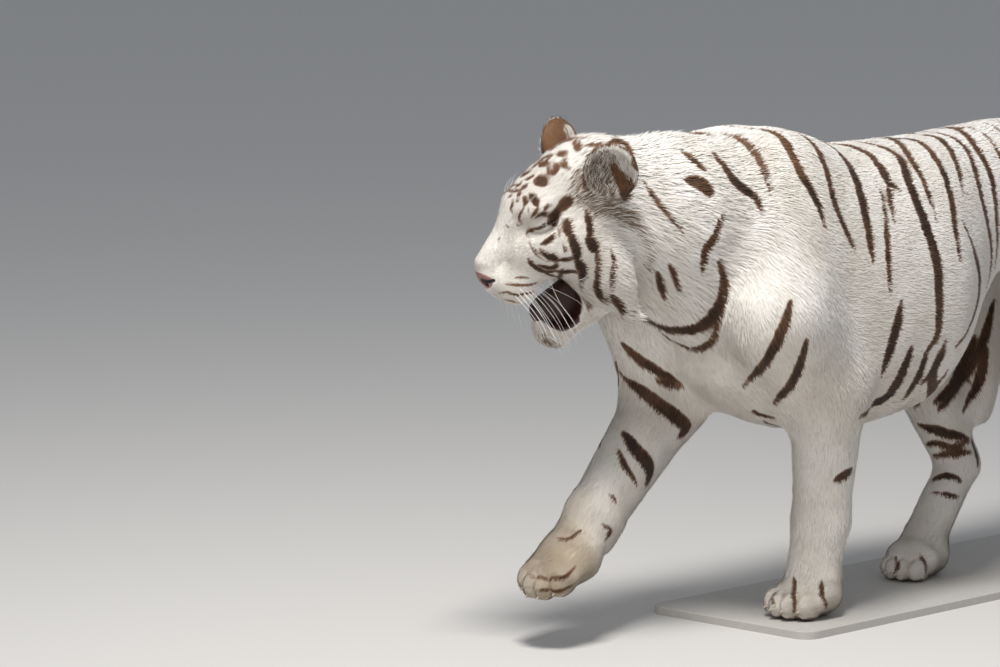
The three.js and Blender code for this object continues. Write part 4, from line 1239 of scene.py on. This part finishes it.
# the beige serves the beige tufts and the painted shade at the hair's roots
BEIGE_AND_ROOT_SHADE, PEPPER_AND_SHADE_BROWN = (0.47, 0.39, 0.30), (0.175, 0.115, 0.070)
DARK_BROWN, WARM_BROWN = (0.026, 0.013, 0.008), (0.175, 0.085, 0.040)
EDGE_NOISE, EDGE_SHADE = 3.0, 1.4  # how far noise and a tuft's own shade move a stripe's edge
EDGE_SLOPE = 0.38  # how fast an edge turns dark, per millimetre of depth
ROOT_SHADE_SHARE, BEIGE_TUFTS = 0.32, 0.24  # painted shade at a white tuft's root, and beige all over the beigest tuft
TIP_SHADE, TIP_START, TIP_SLOPE = 0.6, 0.45, 1.5  # which tufts turn dark: black tips, and painted shade behind the ruff
CORE_START, CORE_SLOPE, WARM_TUFTS = 1.5, 0.36, 0.24  # a stripe turns from warm to dark inwards
HAIR_VALUES = ("Along", "Shade", "Pepper and shade")
colours, given, result = new_group(
    "coat colours",
    [("Marks", "NodeSocketVector")] + [(name, "NodeSocketFloat") for name in HAIR_VALUES],
    [("Color", "NodeSocketColor"), ("Stripe", "NodeSocketFloat")],
)


def plus(a, b, clamp=False):
    return maths(colours, "ADD", a, b, clamp)


def minus(a, b, clamp=False):
    return maths(colours, "SUBTRACT", a, b, clamp)


def times(a, b, clamp=False):
    return maths(colours, "MULTIPLY", a, b, clamp)


def noise(scale, detail):
    place = position(colours)
    return add_node(colours, "ShaderNodeTexNoise", Vector=place, Scale=scale, Detail=detail).outputs["Fac"]


depth, brown, dust_and_shade = split(colours, given.outputs["Marks"])
along, own_shade, black_tip_and_shade = (given.outputs[name] for name in HAIR_VALUES)
edge = plus(plus(depth, times(minus(noise(260.0, 2.0), 0.5), EDGE_NOISE)), times(own_shade, EDGE_SHADE))
stripe = plus(times(edge, EDGE_SLOPE), 0.5, clamp=True)
# dust, and the painted shade along the underline, mix the white towards tan
dust_and_shade_share = plus(dust_and_shade, times(minus(noise(9.0, 3.0), 0.5), 0.5), clamp=True)
white = mixed(colours, dust_and_shade_share, COOL_WHITE, DUST_AND_SHADE_WHITE)
# painted shade: hair turns beige towards its root, where the coat shades itself
white = mixed(colours, times(minus(1.0, along, clamp=True), ROOT_SHADE_SHARE), white, BEIGE_AND_ROOT_SHADE)
beige = times(maths(colours, "MAXIMUM", own_shade, 0.0), BEIGE_TUFTS)
white = mixed(colours, beige, white, BEIGE_AND_ROOT_SHADE)
# black tips, and the painted shade behind the ruff, darken some tufts
tipped = plus(black_tip_and_shade, times(own_shade, TIP_SHADE))
tipped = times(minus(tipped, TIP_START, clamp=True), TIP_SLOPE, clamp=True)
pale = mixed(colours, tipped, white, PEPPER_AND_SHADE_BROWN)
core = times(minus(depth, CORE_START), CORE_SLOPE, clamp=True)
fringe = minus(1.0, times(core, minus(1.1, brown)), clamp=True)
warmth = plus(fringe, times(own_shade, WARM_TUFTS), clamp=True)
dark = mixed(colours, warmth, DARK_BROWN, WARM_BROWN)
final = mixed(colours, stripe, pale, dark)
colours.links.new(final, result.inputs["Color"])
colours.links.new(stripe, result.inputs["Stripe"])
print("group", colours.name, "with", len(colours.nodes), "nodes")

# %% [markdown]
# The coat is dry, so it is rough with a faint sheen. The skin adds the bare parts: pink
# leather on the nose, wet red flesh inside the mouth, darkened nearly to black as painted shade,
# near-black lips and rims, and painted shade in the nostrils and the ears' hollows. A fine pebble
# bump makes the leather. Claws, tongue, whiskers and base wander between two tones each.

# %% Coat and skin materials
NOISE, PEBBLES = "ShaderNodeTexNoise", "ShaderNodeTexVoronoi"
LEATHER_TONES = (0.22, 0.095, 0.085), (0.38, 0.185, 0.16)
# the flesh of the mouth, darkened nearly to black: painted shade of the deep, open mouth
FLESH_IN_SHADE_TONES = (0.014, 0.004, 0.003), (0.060, 0.014, 0.008)
# the black of lips, rims and pads, also used as painted shade in nostrils and ear hollows
BLACK_SKIN_AND_SHADE = (0.020, 0.013, 0.011)


def new_material(name):
    material = bpy.data.materials.new(name)
    material.use_nodes = True
    return material, material.node_tree, material.node_tree.nodes["Principled BSDF"]


def coat_colour(tree):
    """The shared group's colour, fed from the mesh's own marks and hair values."""
    group = tree.nodes.new("ShaderNodeGroup")
    group.node_tree = colours
    values = dict(zip(HAIR_VALUES, split(tree, attribute(tree, "hair"))))
    return fill(tree, group, Marks=attribute(tree, "marks"), **values).outputs["Color"]


def speckled(name, texture, tones, roughness, bump=None, **settings):
    """A material between two tones; bump gives the relief's strength and depth."""
    material, tree, shader = new_material(name)
    speck = add_node(tree, texture, Vector=position(tree), **settings).outputs[0]
    fill(tree, shader, Base_Color=mixed(tree, speck, *tones), Roughness=roughness)
    if bump:
        relief = add_node(tree, "ShaderNodeBump", Strength=bump[0], Distance=bump[1], Height=speck)
        fill(tree, shader, Normal=relief.outputs["Normal"])
    return material


coat_look, tree, shader = new_material("coat")
fill(tree, shader, Base_Color=coat_colour(tree), Roughness=0.62, Specular_IOR_Level=0.25)
fill(tree, shader, Sheen_Weight=0.12, Sheen_Roughness=0.5)

skin_look, tree, shader = new_material("skin")
on_leather, on_flesh, on_dark_skin_and_shade = split(tree, attribute(tree, "bare"))
place = position(tree)
blotch = add_node(tree, NOISE, Vector=place, Scale=60.0, Detail=3.0).outputs["Fac"]
shown = mixed(tree, on_leather, coat_colour(tree), mixed(tree, blotch, *LEATHER_TONES))
# dark skin, and the painted shade in nostrils and ear hollows, turn near black
shown = mixed(tree, on_dark_skin_and_shade, shown, BLACK_SKIN_AND_SHADE)
shown = mixed(tree, on_flesh, shown, mixed(tree, blotch, *FLESH_IN_SHADE_TONES))
wet = maths(tree, "MAXIMUM", on_flesh, on_leather)
dry = maths(tree, "SUBTRACT", 0.75, maths(tree, "MULTIPLY", wet, 0.30))
pebbles = add_node(tree, PEBBLES, Vector=place, Scale=700.0).outputs["Distance"]
bump = add_node(tree, "ShaderNodeBump", Strength=0.25, Distance=0.0006, Height=pebbles)
fill(tree, shader, Base_Color=shown, Roughness=dry, Normal=bump.outputs["Normal"])
print("materials:", coat_look.name, skin_look.name)

# %% [markdown]
# ## The skin as an object
#
# The skin is one piece and stands for every measured solid of flesh, so no seam is left. Its
# unwrap is made from its own shape; the tufts will borrow their places on it.

# %% Skin object
FLESH = [
    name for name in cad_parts
    if "claw" not in name and not name.startswith(("eye_", "tongue", "stand_"))
]
SKIN_ALONG, SKIN_PEPPER_AND_SHADE = 0.35, 0.7  # the skin takes the painted shade of hair near its root, with fewer black tips and less of the ruff's painted shade


def store_vectors(mesh, name, values):
    layer = mesh.attributes.new(name, "FLOAT_VECTOR", "POINT")
    layer.data.foreach_set("vector", np.asarray(values, np.float32).ravel())


def add_object(name, mesh, material):
    piece = bpy.data.objects.new(name, mesh)
    bpy.context.scene.collection.objects.link(piece)
    mesh.materials.append(material)
    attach(piece, "root")
    return piece


store_vectors(body_mesh, "marks", skin_marks)
store_vectors(body_mesh, "bare", skin_bare)
no_shade = np.zeros(len(SKIN))
skin_hair = np.stack([no_shade + SKIN_ALONG, no_shade, pepper_and_shade_at(SKIN) * SKIN_PEPPER_AND_SHADE], 1)
store_vectors(body_mesh, "hair", skin_hair)
body_mesh.vertices.foreach_set("co", in_frame(SKIN).astype(np.float32).ravel())
body_mesh.update()
skin = add_object("skin", body_mesh, skin_look)
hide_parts(*FLESH)
body_mesh.uv_layers.new(name="OFBake")
bpy.context.view_layer.objects.active = skin
skin.select_set(True)
bpy.ops.object.mode_set(mode="EDIT")
bpy.ops.mesh.select_all(action="SELECT")
bpy.ops.uv.smart_project(angle_limit=math.radians(66), island_margin=0.002)
bpy.ops.object.mode_set(mode="OBJECT")
skin.select_set(False)
print(f"skin unwrapped, {time.time() - STARTED:.1f} s")

# %% [markdown]
# ## Tufts
#
# Hair could be a particle system, but a still model that other programs must open needs real
# mesh. Each tuft is a thin blade that narrows to a point: two segments where hair is short,
# three where it is long. It leaves the skin at a low angle, bends over, and its tip is pulled
# back to the coat's depth, so that it hugs the body on hollows and bulges alike.

# %% Scatter the roots
rng = np.random.default_rng(5)
THIN_OUT = 1.0
body_mesh.calc_loop_triangles()
triangles = np.empty(len(body_mesh.loop_triangles) * 3, np.int64)
body_mesh.loop_triangles.foreach_get("vertices", triangles)
triangles = triangles.reshape(-1, 3)
loops = np.empty(len(triangles) * 3, np.int64)
body_mesh.loop_triangles.foreach_get("loops", loops)
uvs = np.empty(len(body_mesh.loops) * 2)
body_mesh.uv_layers["OFBake"].data.foreach_get("uv", uvs)
corner_uvs = uvs.reshape(-1, 2)[loops].reshape(-1, 3, 2)

a, b, c = (SKIN[triangles[:, k]] for k in range(3))
areas = np.linalg.norm(np.cross(b - a, c - a), axis=1) / 2
spacing = SKIN_LOOKS[triangles, SPACING].mean(1) * THIN_OUT
cover = 1 - np.clip(skin_bare[triangles].max(2).mean(1) * 1.6, 0, 1)
middle = (a + b + c) / 3
cover *= middle[:, 2] > 4.0
expected = areas / spacing**2 * cover
counts = np.floor(expected + rng.uniform(size=len(expected))).astype(int)
home = np.repeat(np.arange(len(counts)), counts)
u, v = rng.uniform(size=len(home)), rng.uniform(size=len(home))
flip = u + v > 1
u[flip], v[flip] = 1 - u[flip], 1 - v[flip]
shares = np.stack([1 - u - v, u, v], 1)


def from_corners(values):
    return np.einsum("nk,nkc->nc", shares, values[triangles[home]])


roots = from_corners(SKIN)
normals = from_corners(SKIN_NORMALS)
normals /= np.linalg.norm(normals, axis=1)[:, None]
looks = from_corners(SKIN_LOOKS)
lies = from_corners(SKIN_LIES)
root_uvs = np.einsum("nk,nkc->nc", shares, corner_uvs[home])
print(f"tufts: {len(roots)}, {time.time() - STARTED:.1f} s")

# %% [markdown]
# Neighbouring tufts lean together, as locks do, so the turn of each follows a slow noise with
# only a little chance of its own. Where the lie runs straight into the skin, hair is short.

# %% Shape the blades
LENGTHS, WIDTHS = (0.72, 1.22), (0.8, 1.2)  # the least and the greatest share of a coat's own
WHORL, WHORL_LENGTH = 0.8, 0.35  # hair is shorter where less of its lie than this runs along
LONG_HAIR = 32.0  # above this length a blade has three segments
EAR_FILL = {"length": 20.0, "lift": 0.5, "below": 16.0}  # the long hair in an ear's hollow
for side in (1, -1):
    up_the_ear = (roots - on_head(mirrored(EAR_AT, side))) @ EARS[side][:, 2]
    inside = (ear_cup_distance(roots, side) < 2.0) & (up_the_ear < EAR_FILL["below"])
    looks[inside, LENGTH] = EAR_FILL["length"]
    looks[inside, LIFT] = EAR_FILL["lift"]
    lies[inside] = EARS[side][:, 2] * 0.8 + EARS[side][:, 1] * 0.3 * rng.normal(size=(inside.sum(), 1))
turns = 0.16 * wave(roots, 22, 21) + 0.14 * rng.normal(size=len(roots))
tangent = lies - normals * (lies * normals).sum(1)[:, None]
flow = np.linalg.norm(tangent, axis=1)
tangent /= flow[:, None] + 1e-9
across = np.cross(normals, tangent)
tangent = tangent * np.cos(turns)[:, None] + across * np.sin(turns)[:, None]
across = np.cross(normals, tangent)
length = looks[:, LENGTH] * rng.uniform(*LENGTHS, len(roots)) * (1 + 0.12 * wave(roots, 30, 33))
length *= np.clip(flow / WHORL, WHORL_LENGTH, 1)
width = looks[:, WIDTH] * rng.uniform(*WIDTHS, len(roots)) * THIN_OUT**0.7
unrest = 1 + 0.30 * rng.normal(size=len(roots)) + 0.35 * wave(roots, 26, 41)
lift = looks[:, LIFT] * unrest.clip(0.25, 2.2)
tips = roots + tangent * length[:, None] + normals * (lift * length)[:, None]
height = melted(tips, False)
wanted = lift * length * 0.85
fall = np.clip(height - wanted, -8, 14)


def blade_middle(t, chosen):
    """The middle of the chosen blades at share t of their length."""
    long, up = length[chosen], lift[chosen]
    rise = up * long * (1.25 * t - 0.25 * t * t) - fall[chosen] * t * t - 0.6 * (1 - t)
    return roots[chosen] + tangent[chosen] * (long * t)[:, None] + normals[chosen] * rise[:, None]


long_hair = looks[:, LENGTH] > LONG_HAIR
print(f"blades ready, long share {long_hair.mean():.2f}, {time.time() - STARTED:.1f} s")


# %% Name the region of each root
def region_of(points):
    h = to_head(points)
    x, y, z = points.T
    left = y > 0
    names = np.where(left, "coat_belly_left", "coat_belly_right").astype("U20")

    def put(mask, name):
        names[mask] = name

    def put_sides(mask, name):
        put(mask & left, name + "_left")
        put(mask & ~left, name + "_right")

    put_sides(x > -130, "coat_chest")
    put_sides(x < -480, "coat_rump")
    put_sides((x > 230) & (z > 500), "coat_neck")
    put((z < 400) & (x > -150) & (y > 20), "coat_fore_left")
    put((z < 400) & (x > 100) & (y <= 20), "coat_fore_right")
    put_sides((z < 480) & (x < -400), "coat_hind")
    put(x < -1078, "coat_tail")
    on_skull = (h[:, 0] > -325) & (h[:, 2] > -215) & (np.abs(h[:, 1]) < 165) & (x > 330)
    put(on_skull & (h[:, 1] > 0), "coat_head_left")
    put(on_skull & (h[:, 1] <= 0), "coat_head_right")
    return names


# %% Build the coat
STATIONS = {  # share of the length and of the width, from root to tip
    True: ((0.0, 1.0), (0.36, 0.85), (0.72, 0.55), (1.0, 0.0)),
    False: ((0.0, 1.0), (0.55, 0.75), (1.0, 0.0)),
}
RAGGED = 3.2  # how far a tuft may carry a stripe's edge along with it
shade = rng.uniform(-1, 1, len(roots))
pepper_and_shade = pepper_and_shade_at(roots)


def build_tufts(chosen, is_long):
    """Vertices, faces, marks, hair values and UVs of the tufts, with 5 or 3 triangles each.

    A blade is coloured by the stripes that it lies over, so they stay as crisp as on the skin.
    """
    columns, along, marks = [], [], []
    for t, narrow in STATIONS[is_long]:
        middle = blade_middle(t, chosen)
        below = middle - normals[chosen] * (wanted[chosen] * t)[:, None]
        here = marks_at(below - tangent[chosen] * (RAGGED * shade[chosen])[:, None])
        half = across[chosen] * (width[chosen] * narrow * 0.5)[:, None]
        for edge in (middle - half, middle + half) if narrow else (middle,):
            edge[:, 2] = np.maximum(edge[:, 2], 0.3)
            columns.append(edge)
            along.append(t)
            marks.append(here)
    n = len(columns)
    pattern = [(n - 3, n - 2, n - 1)]
    for left in range(0, n - 3, 2):
        pattern += [(left, left + 1, left + 3), (left, left + 3, left + 2)]
    faces = np.array(pattern)[None] + (np.arange(len(chosen)) * n)[:, None, None]
    sides = np.array([(-1, 1)[k % 2] for k in range(n - 1)] + [0.0])
    patch = np.stack([sides * 0.0015, np.array(along) * 0.003 - 0.0015], 1)
    uv = root_uvs[chosen][:, None] + patch[None]
    tints = [np.repeat(values[chosen], n) for values in (shade, pepper_and_shade)]
    hair = np.stack([np.tile(along, len(chosen)), *tints], 1)
    return (
        np.stack(columns, 1).reshape(-1, 3), faces.reshape(-1, 3),
        np.stack(marks, 1).reshape(-1, 3), hair, uv.reshape(-1, 2),
    )


def add_coat_mesh(name, blocks):
    vertices = np.concatenate([block[0] for block in blocks])
    offsets = np.cumsum([0] + [len(block[0]) for block in blocks])[:-1]
    faces = np.concatenate([block[1] + o for block, o in zip(blocks, offsets)])
    mesh = bpy.data.meshes.new(name)
    mesh.vertices.add(len(vertices))
    mesh.vertices.foreach_set("co", in_frame(vertices).astype(np.float32).ravel())
    mesh.loops.add(len(faces) * 3)
    mesh.loops.foreach_set("vertex_index", faces.astype(np.int32).ravel())
    mesh.polygons.add(len(faces))
    mesh.polygons.foreach_set("loop_start", np.arange(0, len(faces) * 3, 3, dtype=np.int32))
    mesh.update(calc_edges=True)
    mesh.shade_smooth()
    store_vectors(mesh, "marks", np.concatenate([block[2] for block in blocks]))
    store_vectors(mesh, "hair", np.concatenate([block[3] for block in blocks]))
    uv = np.concatenate([block[4] for block in blocks])
    layer = mesh.uv_layers.new(name="OFBake")
    layer.data.foreach_set("uv", uv[faces.ravel()].astype(np.float32).ravel())
    add_object(name, mesh, coat_look)
    return len(faces)


regions = region_of(roots)
coat_total = 0
for name in np.unique(regions):
    mine = regions == name
    blocks = [
        build_tufts(np.flatnonzero(mine & (long_hair == is_long)), is_long)
        for is_long in (False, True) if (mine & (long_hair == is_long)).any()
    ]
    count = add_coat_mesh(str(name), blocks)
    coat_total += count
    print(f"{name}: {mine.sum()} tufts, {count} triangles")
print(f"coat: {coat_total} triangles, {time.time() - STARTED:.1f} s")

# %% [markdown]
# ## Eyes
#
# A tiger's eye is as large as a walnut and sits deep under the brow. It is a ball with a pale
# blue iris, darkened as painted shade under the squinting lids, and a round pupil, under a
# clear gloss; most of it stays behind the lids.

# %% Eyes
# the iris tones are darkened: painted shade under the squinting lids
IRIS_IN_SHADE_TONES = (0.08, 0.15, 0.20), (0.24, 0.34, 0.40)
PUPIL_EDGE, IRIS_EDGE = 0.24, 0.62  # angles from the way of the gaze, in radians


def ball_mesh(name, centre, radius, turn):
    work = bmesh.new()
    bmesh.ops.create_uvsphere(work, u_segments=48, v_segments=32, radius=1.0)
    mesh = bpy.data.meshes.new(name)
    work.to_mesh(mesh)
    work.free()
    points, _ = mesh_arrays(mesh)
    store_vectors(mesh, "gaze", points)
    placed = in_frame(points @ turn.T * radius + centre)
    mesh.vertices.foreach_set("co", placed.astype(np.float32).ravel())
    mesh.update()
    mesh.shade_smooth()
    mesh.uv_layers.new(name="OFBake")
    return mesh


eye_look, tree, shader = new_material("eye")
gaze = attribute(tree, "gaze")
off_axis = maths(tree, "ARCCOSINE", maths(tree, "MINIMUM", split(tree, gaze)[2], 0.9999))
ray = add_node(tree, NOISE, Vector=gaze, Scale=14.0)
iris = mixed(tree, ray.outputs["Fac"], *IRIS_IN_SHADE_TONES)
in_pupil = maths(tree, "MULTIPLY", maths(tree, "SUBTRACT", PUPIL_EDGE, off_axis), 40.0, clamp=True)
out_iris = maths(tree, "MULTIPLY", maths(tree, "SUBTRACT", off_axis, IRIS_EDGE), 18.0, clamp=True)
shown = mixed(tree, out_iris, iris, (0.05, 0.035, 0.03))
shown = mixed(tree, in_pupil, shown, (0.004, 0.004, 0.005))
fill(tree, shader, Base_Color=shown, Roughness=0.08, Coat_Weight=0.6)
for side, name in ((1, "left"), (-1, "right")):
    facing = head_way([0.62, side * 0.78, -0.02])
    up = head_way([0, 0, 1])
    across_eye = np.cross(up, facing)
    across_eye /= np.linalg.norm(across_eye)
    turn = np.stack([across_eye, np.cross(facing, across_eye), facing], 1)
    mesh = ball_mesh("eyeball_" + name, on_head(mirrored(EYE_AT, side)), EYE_RADIUS, turn)
    eyeball = add_object("eyeball_" + name, mesh, eye_look)
    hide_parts("eye_" + name)
print("eyes at", on_head(EYE_AT).round(1))

# %% [markdown]
# ## Claws, tongue and whiskers
#
# The claws are nearly sheathed: only a horn-coloured hook shows in front of each toe. The
# tongue lies low in the open mouth. Whiskers leave the pads in rows, sweep back and down, and
# thin to nothing.

# %% Tubes that taper
def tube_blocks(paths, radii, sides):
    """Joined tapering tubes: one path of points and one list of radii each."""
    vertices, faces = [], []
    for path, radius in zip(paths, radii):
        path = np.asarray(path, float)
        way = np.gradient(path, axis=0)
        way /= np.linalg.norm(way, axis=1)[:, None]
        first = np.cross(way[0], [0.3, 0.5, 0.81])
        base = sum(len(block) for block in vertices)
        for k, (p, w, r) in enumerate(zip(path, way, radius)):
            u = first - w * (first @ w)
            u /= np.linalg.norm(u)
            v = np.cross(w, u)
            angles = np.arange(sides) * 2 * math.pi / sides
            vertices.append(p + r * (np.cos(angles)[:, None] * u + np.sin(angles)[:, None] * v))
            if k:
                here, back = base + k * sides, base + (k - 1) * sides
                for s in range(sides):
                    e = (s + 1) % sides
                    faces.append((back + s, back + e, here + e, here + s))
        faces.append(tuple(base + s for s in reversed(range(sides))))
        faces.append(tuple(base + (len(path) - 1) * sides + s for s in range(sides)))
    return np.concatenate(vertices), faces


def shaped_object(name, points, faces, material, slot):
    mesh = bpy.data.meshes.new(name)
    mesh.from_pydata(in_frame(points).tolist(), [], faces)
    mesh.update()
    mesh.shade_smooth()
    return add_object(name, mesh, material)


# %% Claws
CLAW_ARC, CLAW_START, CLAW_LENGTH = math.radians(48), 0.25, 17.0
CLAW_RADIUS, CLAW_TIP = 4.2, 0.25
CLAW_TONES = (0.30, 0.24, 0.18), (0.62, 0.56, 0.47)
claw_look = speckled("claw", NOISE, CLAW_TONES, 0.35, Scale=120.0)
paths, radii = [], []
for root, forward, up in claws:
    steps = np.linspace(0, 1, 9)
    angle = CLAW_ARC * steps - CLAW_START
    bend = CLAW_LENGTH / CLAW_ARC
    paths.append([root + forward * (bend * math.sin(q)) + up * (bend * (math.cos(q) - 1)) for q in angle])
    radii.append(CLAW_RADIUS * (1 - steps) ** 0.7 + CLAW_TIP)
claw_piece = shaped_object("claws", *tube_blocks(paths, radii, 8), claw_look, "claw")
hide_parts(*[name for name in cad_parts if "claw" in name])
print("claws:", len(paths))

# %% Tongue
TONGUE_ROOT, TONGUE_REACH = np.array([-170.0, 0.0, -104.0]), np.array([98.0, 0.0, -6.0])
TONGUE_HALF = 22.0  # half the width
TONGUE_UNDER, TONGUE_OVER, TONGUE_THINS = 58.0, 29.0, 12.0  # rooted in the jaw's floor, thinner ahead
# the tongue, darkened nearly to black: painted shade of the deep mouth
TONGUE_IN_SHADE_TONES = (0.010, 0.003, 0.002), (0.050, 0.012, 0.006)
tongue_look = speckled("tongue", PEBBLES, TONGUE_IN_SHADE_TONES, 0.5, bump=(0.5, 0.001), Scale=420.0)
steps = np.linspace(0, 1, 15)
middle_line = [on_head(TONGUE_ROOT + TONGUE_REACH * t) for t in steps]
tongue_vertices, tongue_faces = tube_blocks([middle_line], [np.ones(15)], 20)
turned = to_head(tongue_vertices)
share = np.clip((turned[:, 0] - TONGUE_ROOT[0]) / TONGUE_REACH[0], 0, 1)
spread = np.sqrt(np.clip(1 - (2 * share - 0.9).clip(0, 1.1) ** 4 / 1.5, 0.02, 1))
level = TONGUE_ROOT[2] + TONGUE_REACH[2] * share
turned[:, 1] *= TONGUE_HALF * spread
furrow = 2.5 * np.exp(-(turned[:, 1] / 6) ** 2)
depth_here = np.where(turned[:, 2] < level, TONGUE_UNDER, TONGUE_OVER) - TONGUE_THINS * share
turned[:, 2] = level + (turned[:, 2] - level) * depth_here * spread - furrow
tongue_piece = shaped_object("tongue_flesh", on_head(turned), tongue_faces, tongue_look, "tongue")
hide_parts("tongue")

# %% Whiskers
WHISKER_TONES = (0.80, 0.79, 0.76), (0.95, 0.95, 0.94)
whisker_look = speckled("whisker", NOISE, WHISKER_TONES, 0.3, Scale=30.0)
WHISKER_LINES = [  # root, two bends and end of each, as points of the view
    [(540, 284), (560, 292), (582, 305), (595, 330)], [(537, 286), (557, 301), (574, 322), (583, 340)],
    [(533, 287), (552, 302), (568, 325), (578, 345)], [(536, 291), (551, 308), (564, 330), (572, 350)],
    [(541, 288), (556, 305), (570, 328), (577, 338)], [(530, 290), (545, 306), (560, 328), (570, 354)],
    [(527, 291), (540, 307), (556, 331), (566, 357)], [(524, 294), (537, 309), (551, 331), (560, 352)],
    [(520, 289), (534, 304), (548, 326), (558, 346)], [(518, 293), (530, 307), (543, 325), (552, 345)],
    [(515, 296), (527, 309), (538, 324), (546, 340)], [(523, 299), (534, 312), (544, 328), (549, 343)],
    [(530, 297), (543, 314), (555, 337), (562, 357)], [(545, 290), (560, 303), (572, 320), (579, 334)],
    [(578, 280), (583, 279), (588, 275), (590, 270)],
]
WHISKER_SPREAD = 46.0  # how far out to the side a whisker's end stands from its root
WHISKER_RADIUS, BRISTLE_RADIUS = (0.52, 0.07), (0.30, 0.05)  # what is lost on the way, and the tip
BRISTLES, BRISTLE_LENGTH = 3, 24.0


def at_side(point, y):
    """The place behind a point of the view that lies y to the left of the head's middle."""
    a, b = to_head(EYE_OF_VIEW), to_head(EYE_OF_VIEW + np.array(view_ray(point)) * 1000)
    return a + (b - a) * (y - a[1]) / (b[1] - a[1])


def thinning(radius, steps):
    return radius[0] * (1 - steps) ** 0.8 + radius[1]


steps = np.linspace(0, 1, 13)
paths, radii = [], []
for line in WHISKER_LINES:
    root = to_head(cast(line[:1])[0])
    bends = [root] + [at_side(p, root[1] + WHISKER_SPREAD * s) for p, s in zip(line[1:], (0.45, 0.8, 1.0))]
    drawn = np.array([centripetal(np.array(bends), t) for t in steps])
    for side in (1, -1):
        paths.append([on_head(mirrored(p, side)) for p in drawn])
        radii.append(thinning(WHISKER_RADIUS, steps))
steps = np.linspace(0, 1, 7)
for side in (1, -1):
    for k in range(BRISTLES):
        hit = onto_skin([on_head([-132 - 8 * k, side * 52, 100])])[0]
        out = head_way([-0.5 - 0.1 * k, side * 0.5, 0.7])
        back = head_way([-1, 0, 0])
        paths.append([hit + out * (BRISTLE_LENGTH * s - 2) + back * (9 * s * s) for s in steps])
        radii.append(thinning(BRISTLE_RADIUS, steps))
shaped_object("whiskers", *tube_blocks(paths, radii, 4), whisker_look, "whisker")
print("whiskers and brow bristles:", len(paths))

# %% [markdown]
# ## Base
#
# Standing on three paws, a real animal balances as it moves, but a model would tip. A plain
# matt board under the paws carries it.

# %% Base
BASE_TONES = (0.40, 0.38, 0.35), (0.47, 0.45, 0.42)
base_look = speckled("base", NOISE, BASE_TONES, 0.75, bump=(0.15, 0.0005), Scale=90.0, Detail=4.0)
base_low, base_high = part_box("stand_base")
BASE_CORNER, BASE_EASE = 0.034, 0.002  # metres, as everything in this cell
work = bmesh.new()
bmesh.ops.create_cube(work, size=1.0)
for vertex in work.verts:
    vertex.co = [lo + (hi - lo) * (c + 0.5) for lo, hi, c in zip(base_low, base_high, vertex.co)]
upright = [e for e in work.edges if abs(e.verts[0].co.z - e.verts[1].co.z) > 0.001]
bmesh.ops.bevel(work, geom=upright, offset=BASE_CORNER, segments=8, affect="EDGES", profile=0.5)
on_top = [e for e in work.edges if min(v.co.z for v in e.verts) > base_high.z - 1e-5]
sides_of = [[f.normal.z for f in e.link_faces] for e in on_top]
rim = [e for e, z in zip(on_top, sides_of) if len(z) == 2 and abs(z[0] - z[1]) > 0.5]
bmesh.ops.bevel(work, geom=rim, offset=BASE_EASE, segments=3, affect="EDGES", profile=0.5)
mesh = bpy.data.meshes.new("base_board")
work.to_mesh(mesh)
work.free()
base_piece = add_object("base_board", mesh, base_look)
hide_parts("stand_base")
print("base board:", [round(v, 3) for v in base_high - base_low])

# %% [markdown]
# ## Floor and light
#
# A plain pale floor, one key light high in front of the animal and a little to its left, a
# wider and weaker fill from the camera's side, and a dim sky for the rest.

# %% Floor
FLOOR_TONE, FLOOR_RADIUS = (0.57, 0.55, 0.525), 45.0
floor_look, tree, shader = new_material("floor")
fill(tree, shader, Base_Color=FLOOR_TONE, Roughness=0.9)
work = bmesh.new()
bmesh.ops.create_circle(work, cap_ends=True, radius=FLOOR_RADIUS, segments=64)
mesh = bpy.data.meshes.new("floor")
work.to_mesh(mesh)
work.free()
floor = bpy.data.objects.new("floor", mesh)
bpy.context.scene.collection.objects.link(floor)
mesh.materials.append(floor_look)


# %% Lights
SKY_TONE, SKY_STRENGTH = (0.80, 0.86, 0.95), 0.42


def area_light(name, place, aim, size, power, colour):
    data = bpy.data.lights.new(name, "AREA")
    data.energy, data.size, data.color = power, size, colour
    lamp = bpy.data.objects.new(name, data)
    bpy.context.scene.collection.objects.link(lamp)
    lamp.location = place
    lamp.rotation_mode = "QUATERNION"
    lamp.rotation_quaternion = (Vector(aim) - Vector(place)).to_track_quat("-Z", "Y")


# The lights stand, and aim, at places in the frame's metres.
area_light("key", (-2.3, -1.0, 4.6), (-0.1, 0, 0.5), 1.2, 262, (1.0, 0.985, 0.96))
area_light("fill", (-6.0, -4.0, 2.4), (-0.4, 0, 0.5), 2.4, 62, (1.0, 0.94, 0.86))
world = bpy.data.worlds.new("sky")
world.use_nodes = True
fill(world.node_tree, world.node_tree.nodes["Background"], Color=SKY_TONE, Strength=SKY_STRENGTH)
bpy.context.scene.world = world
bpy.context.scene.view_settings.view_transform = "Standard"
print(f"lights set, {time.time() - STARTED:.1f} s")
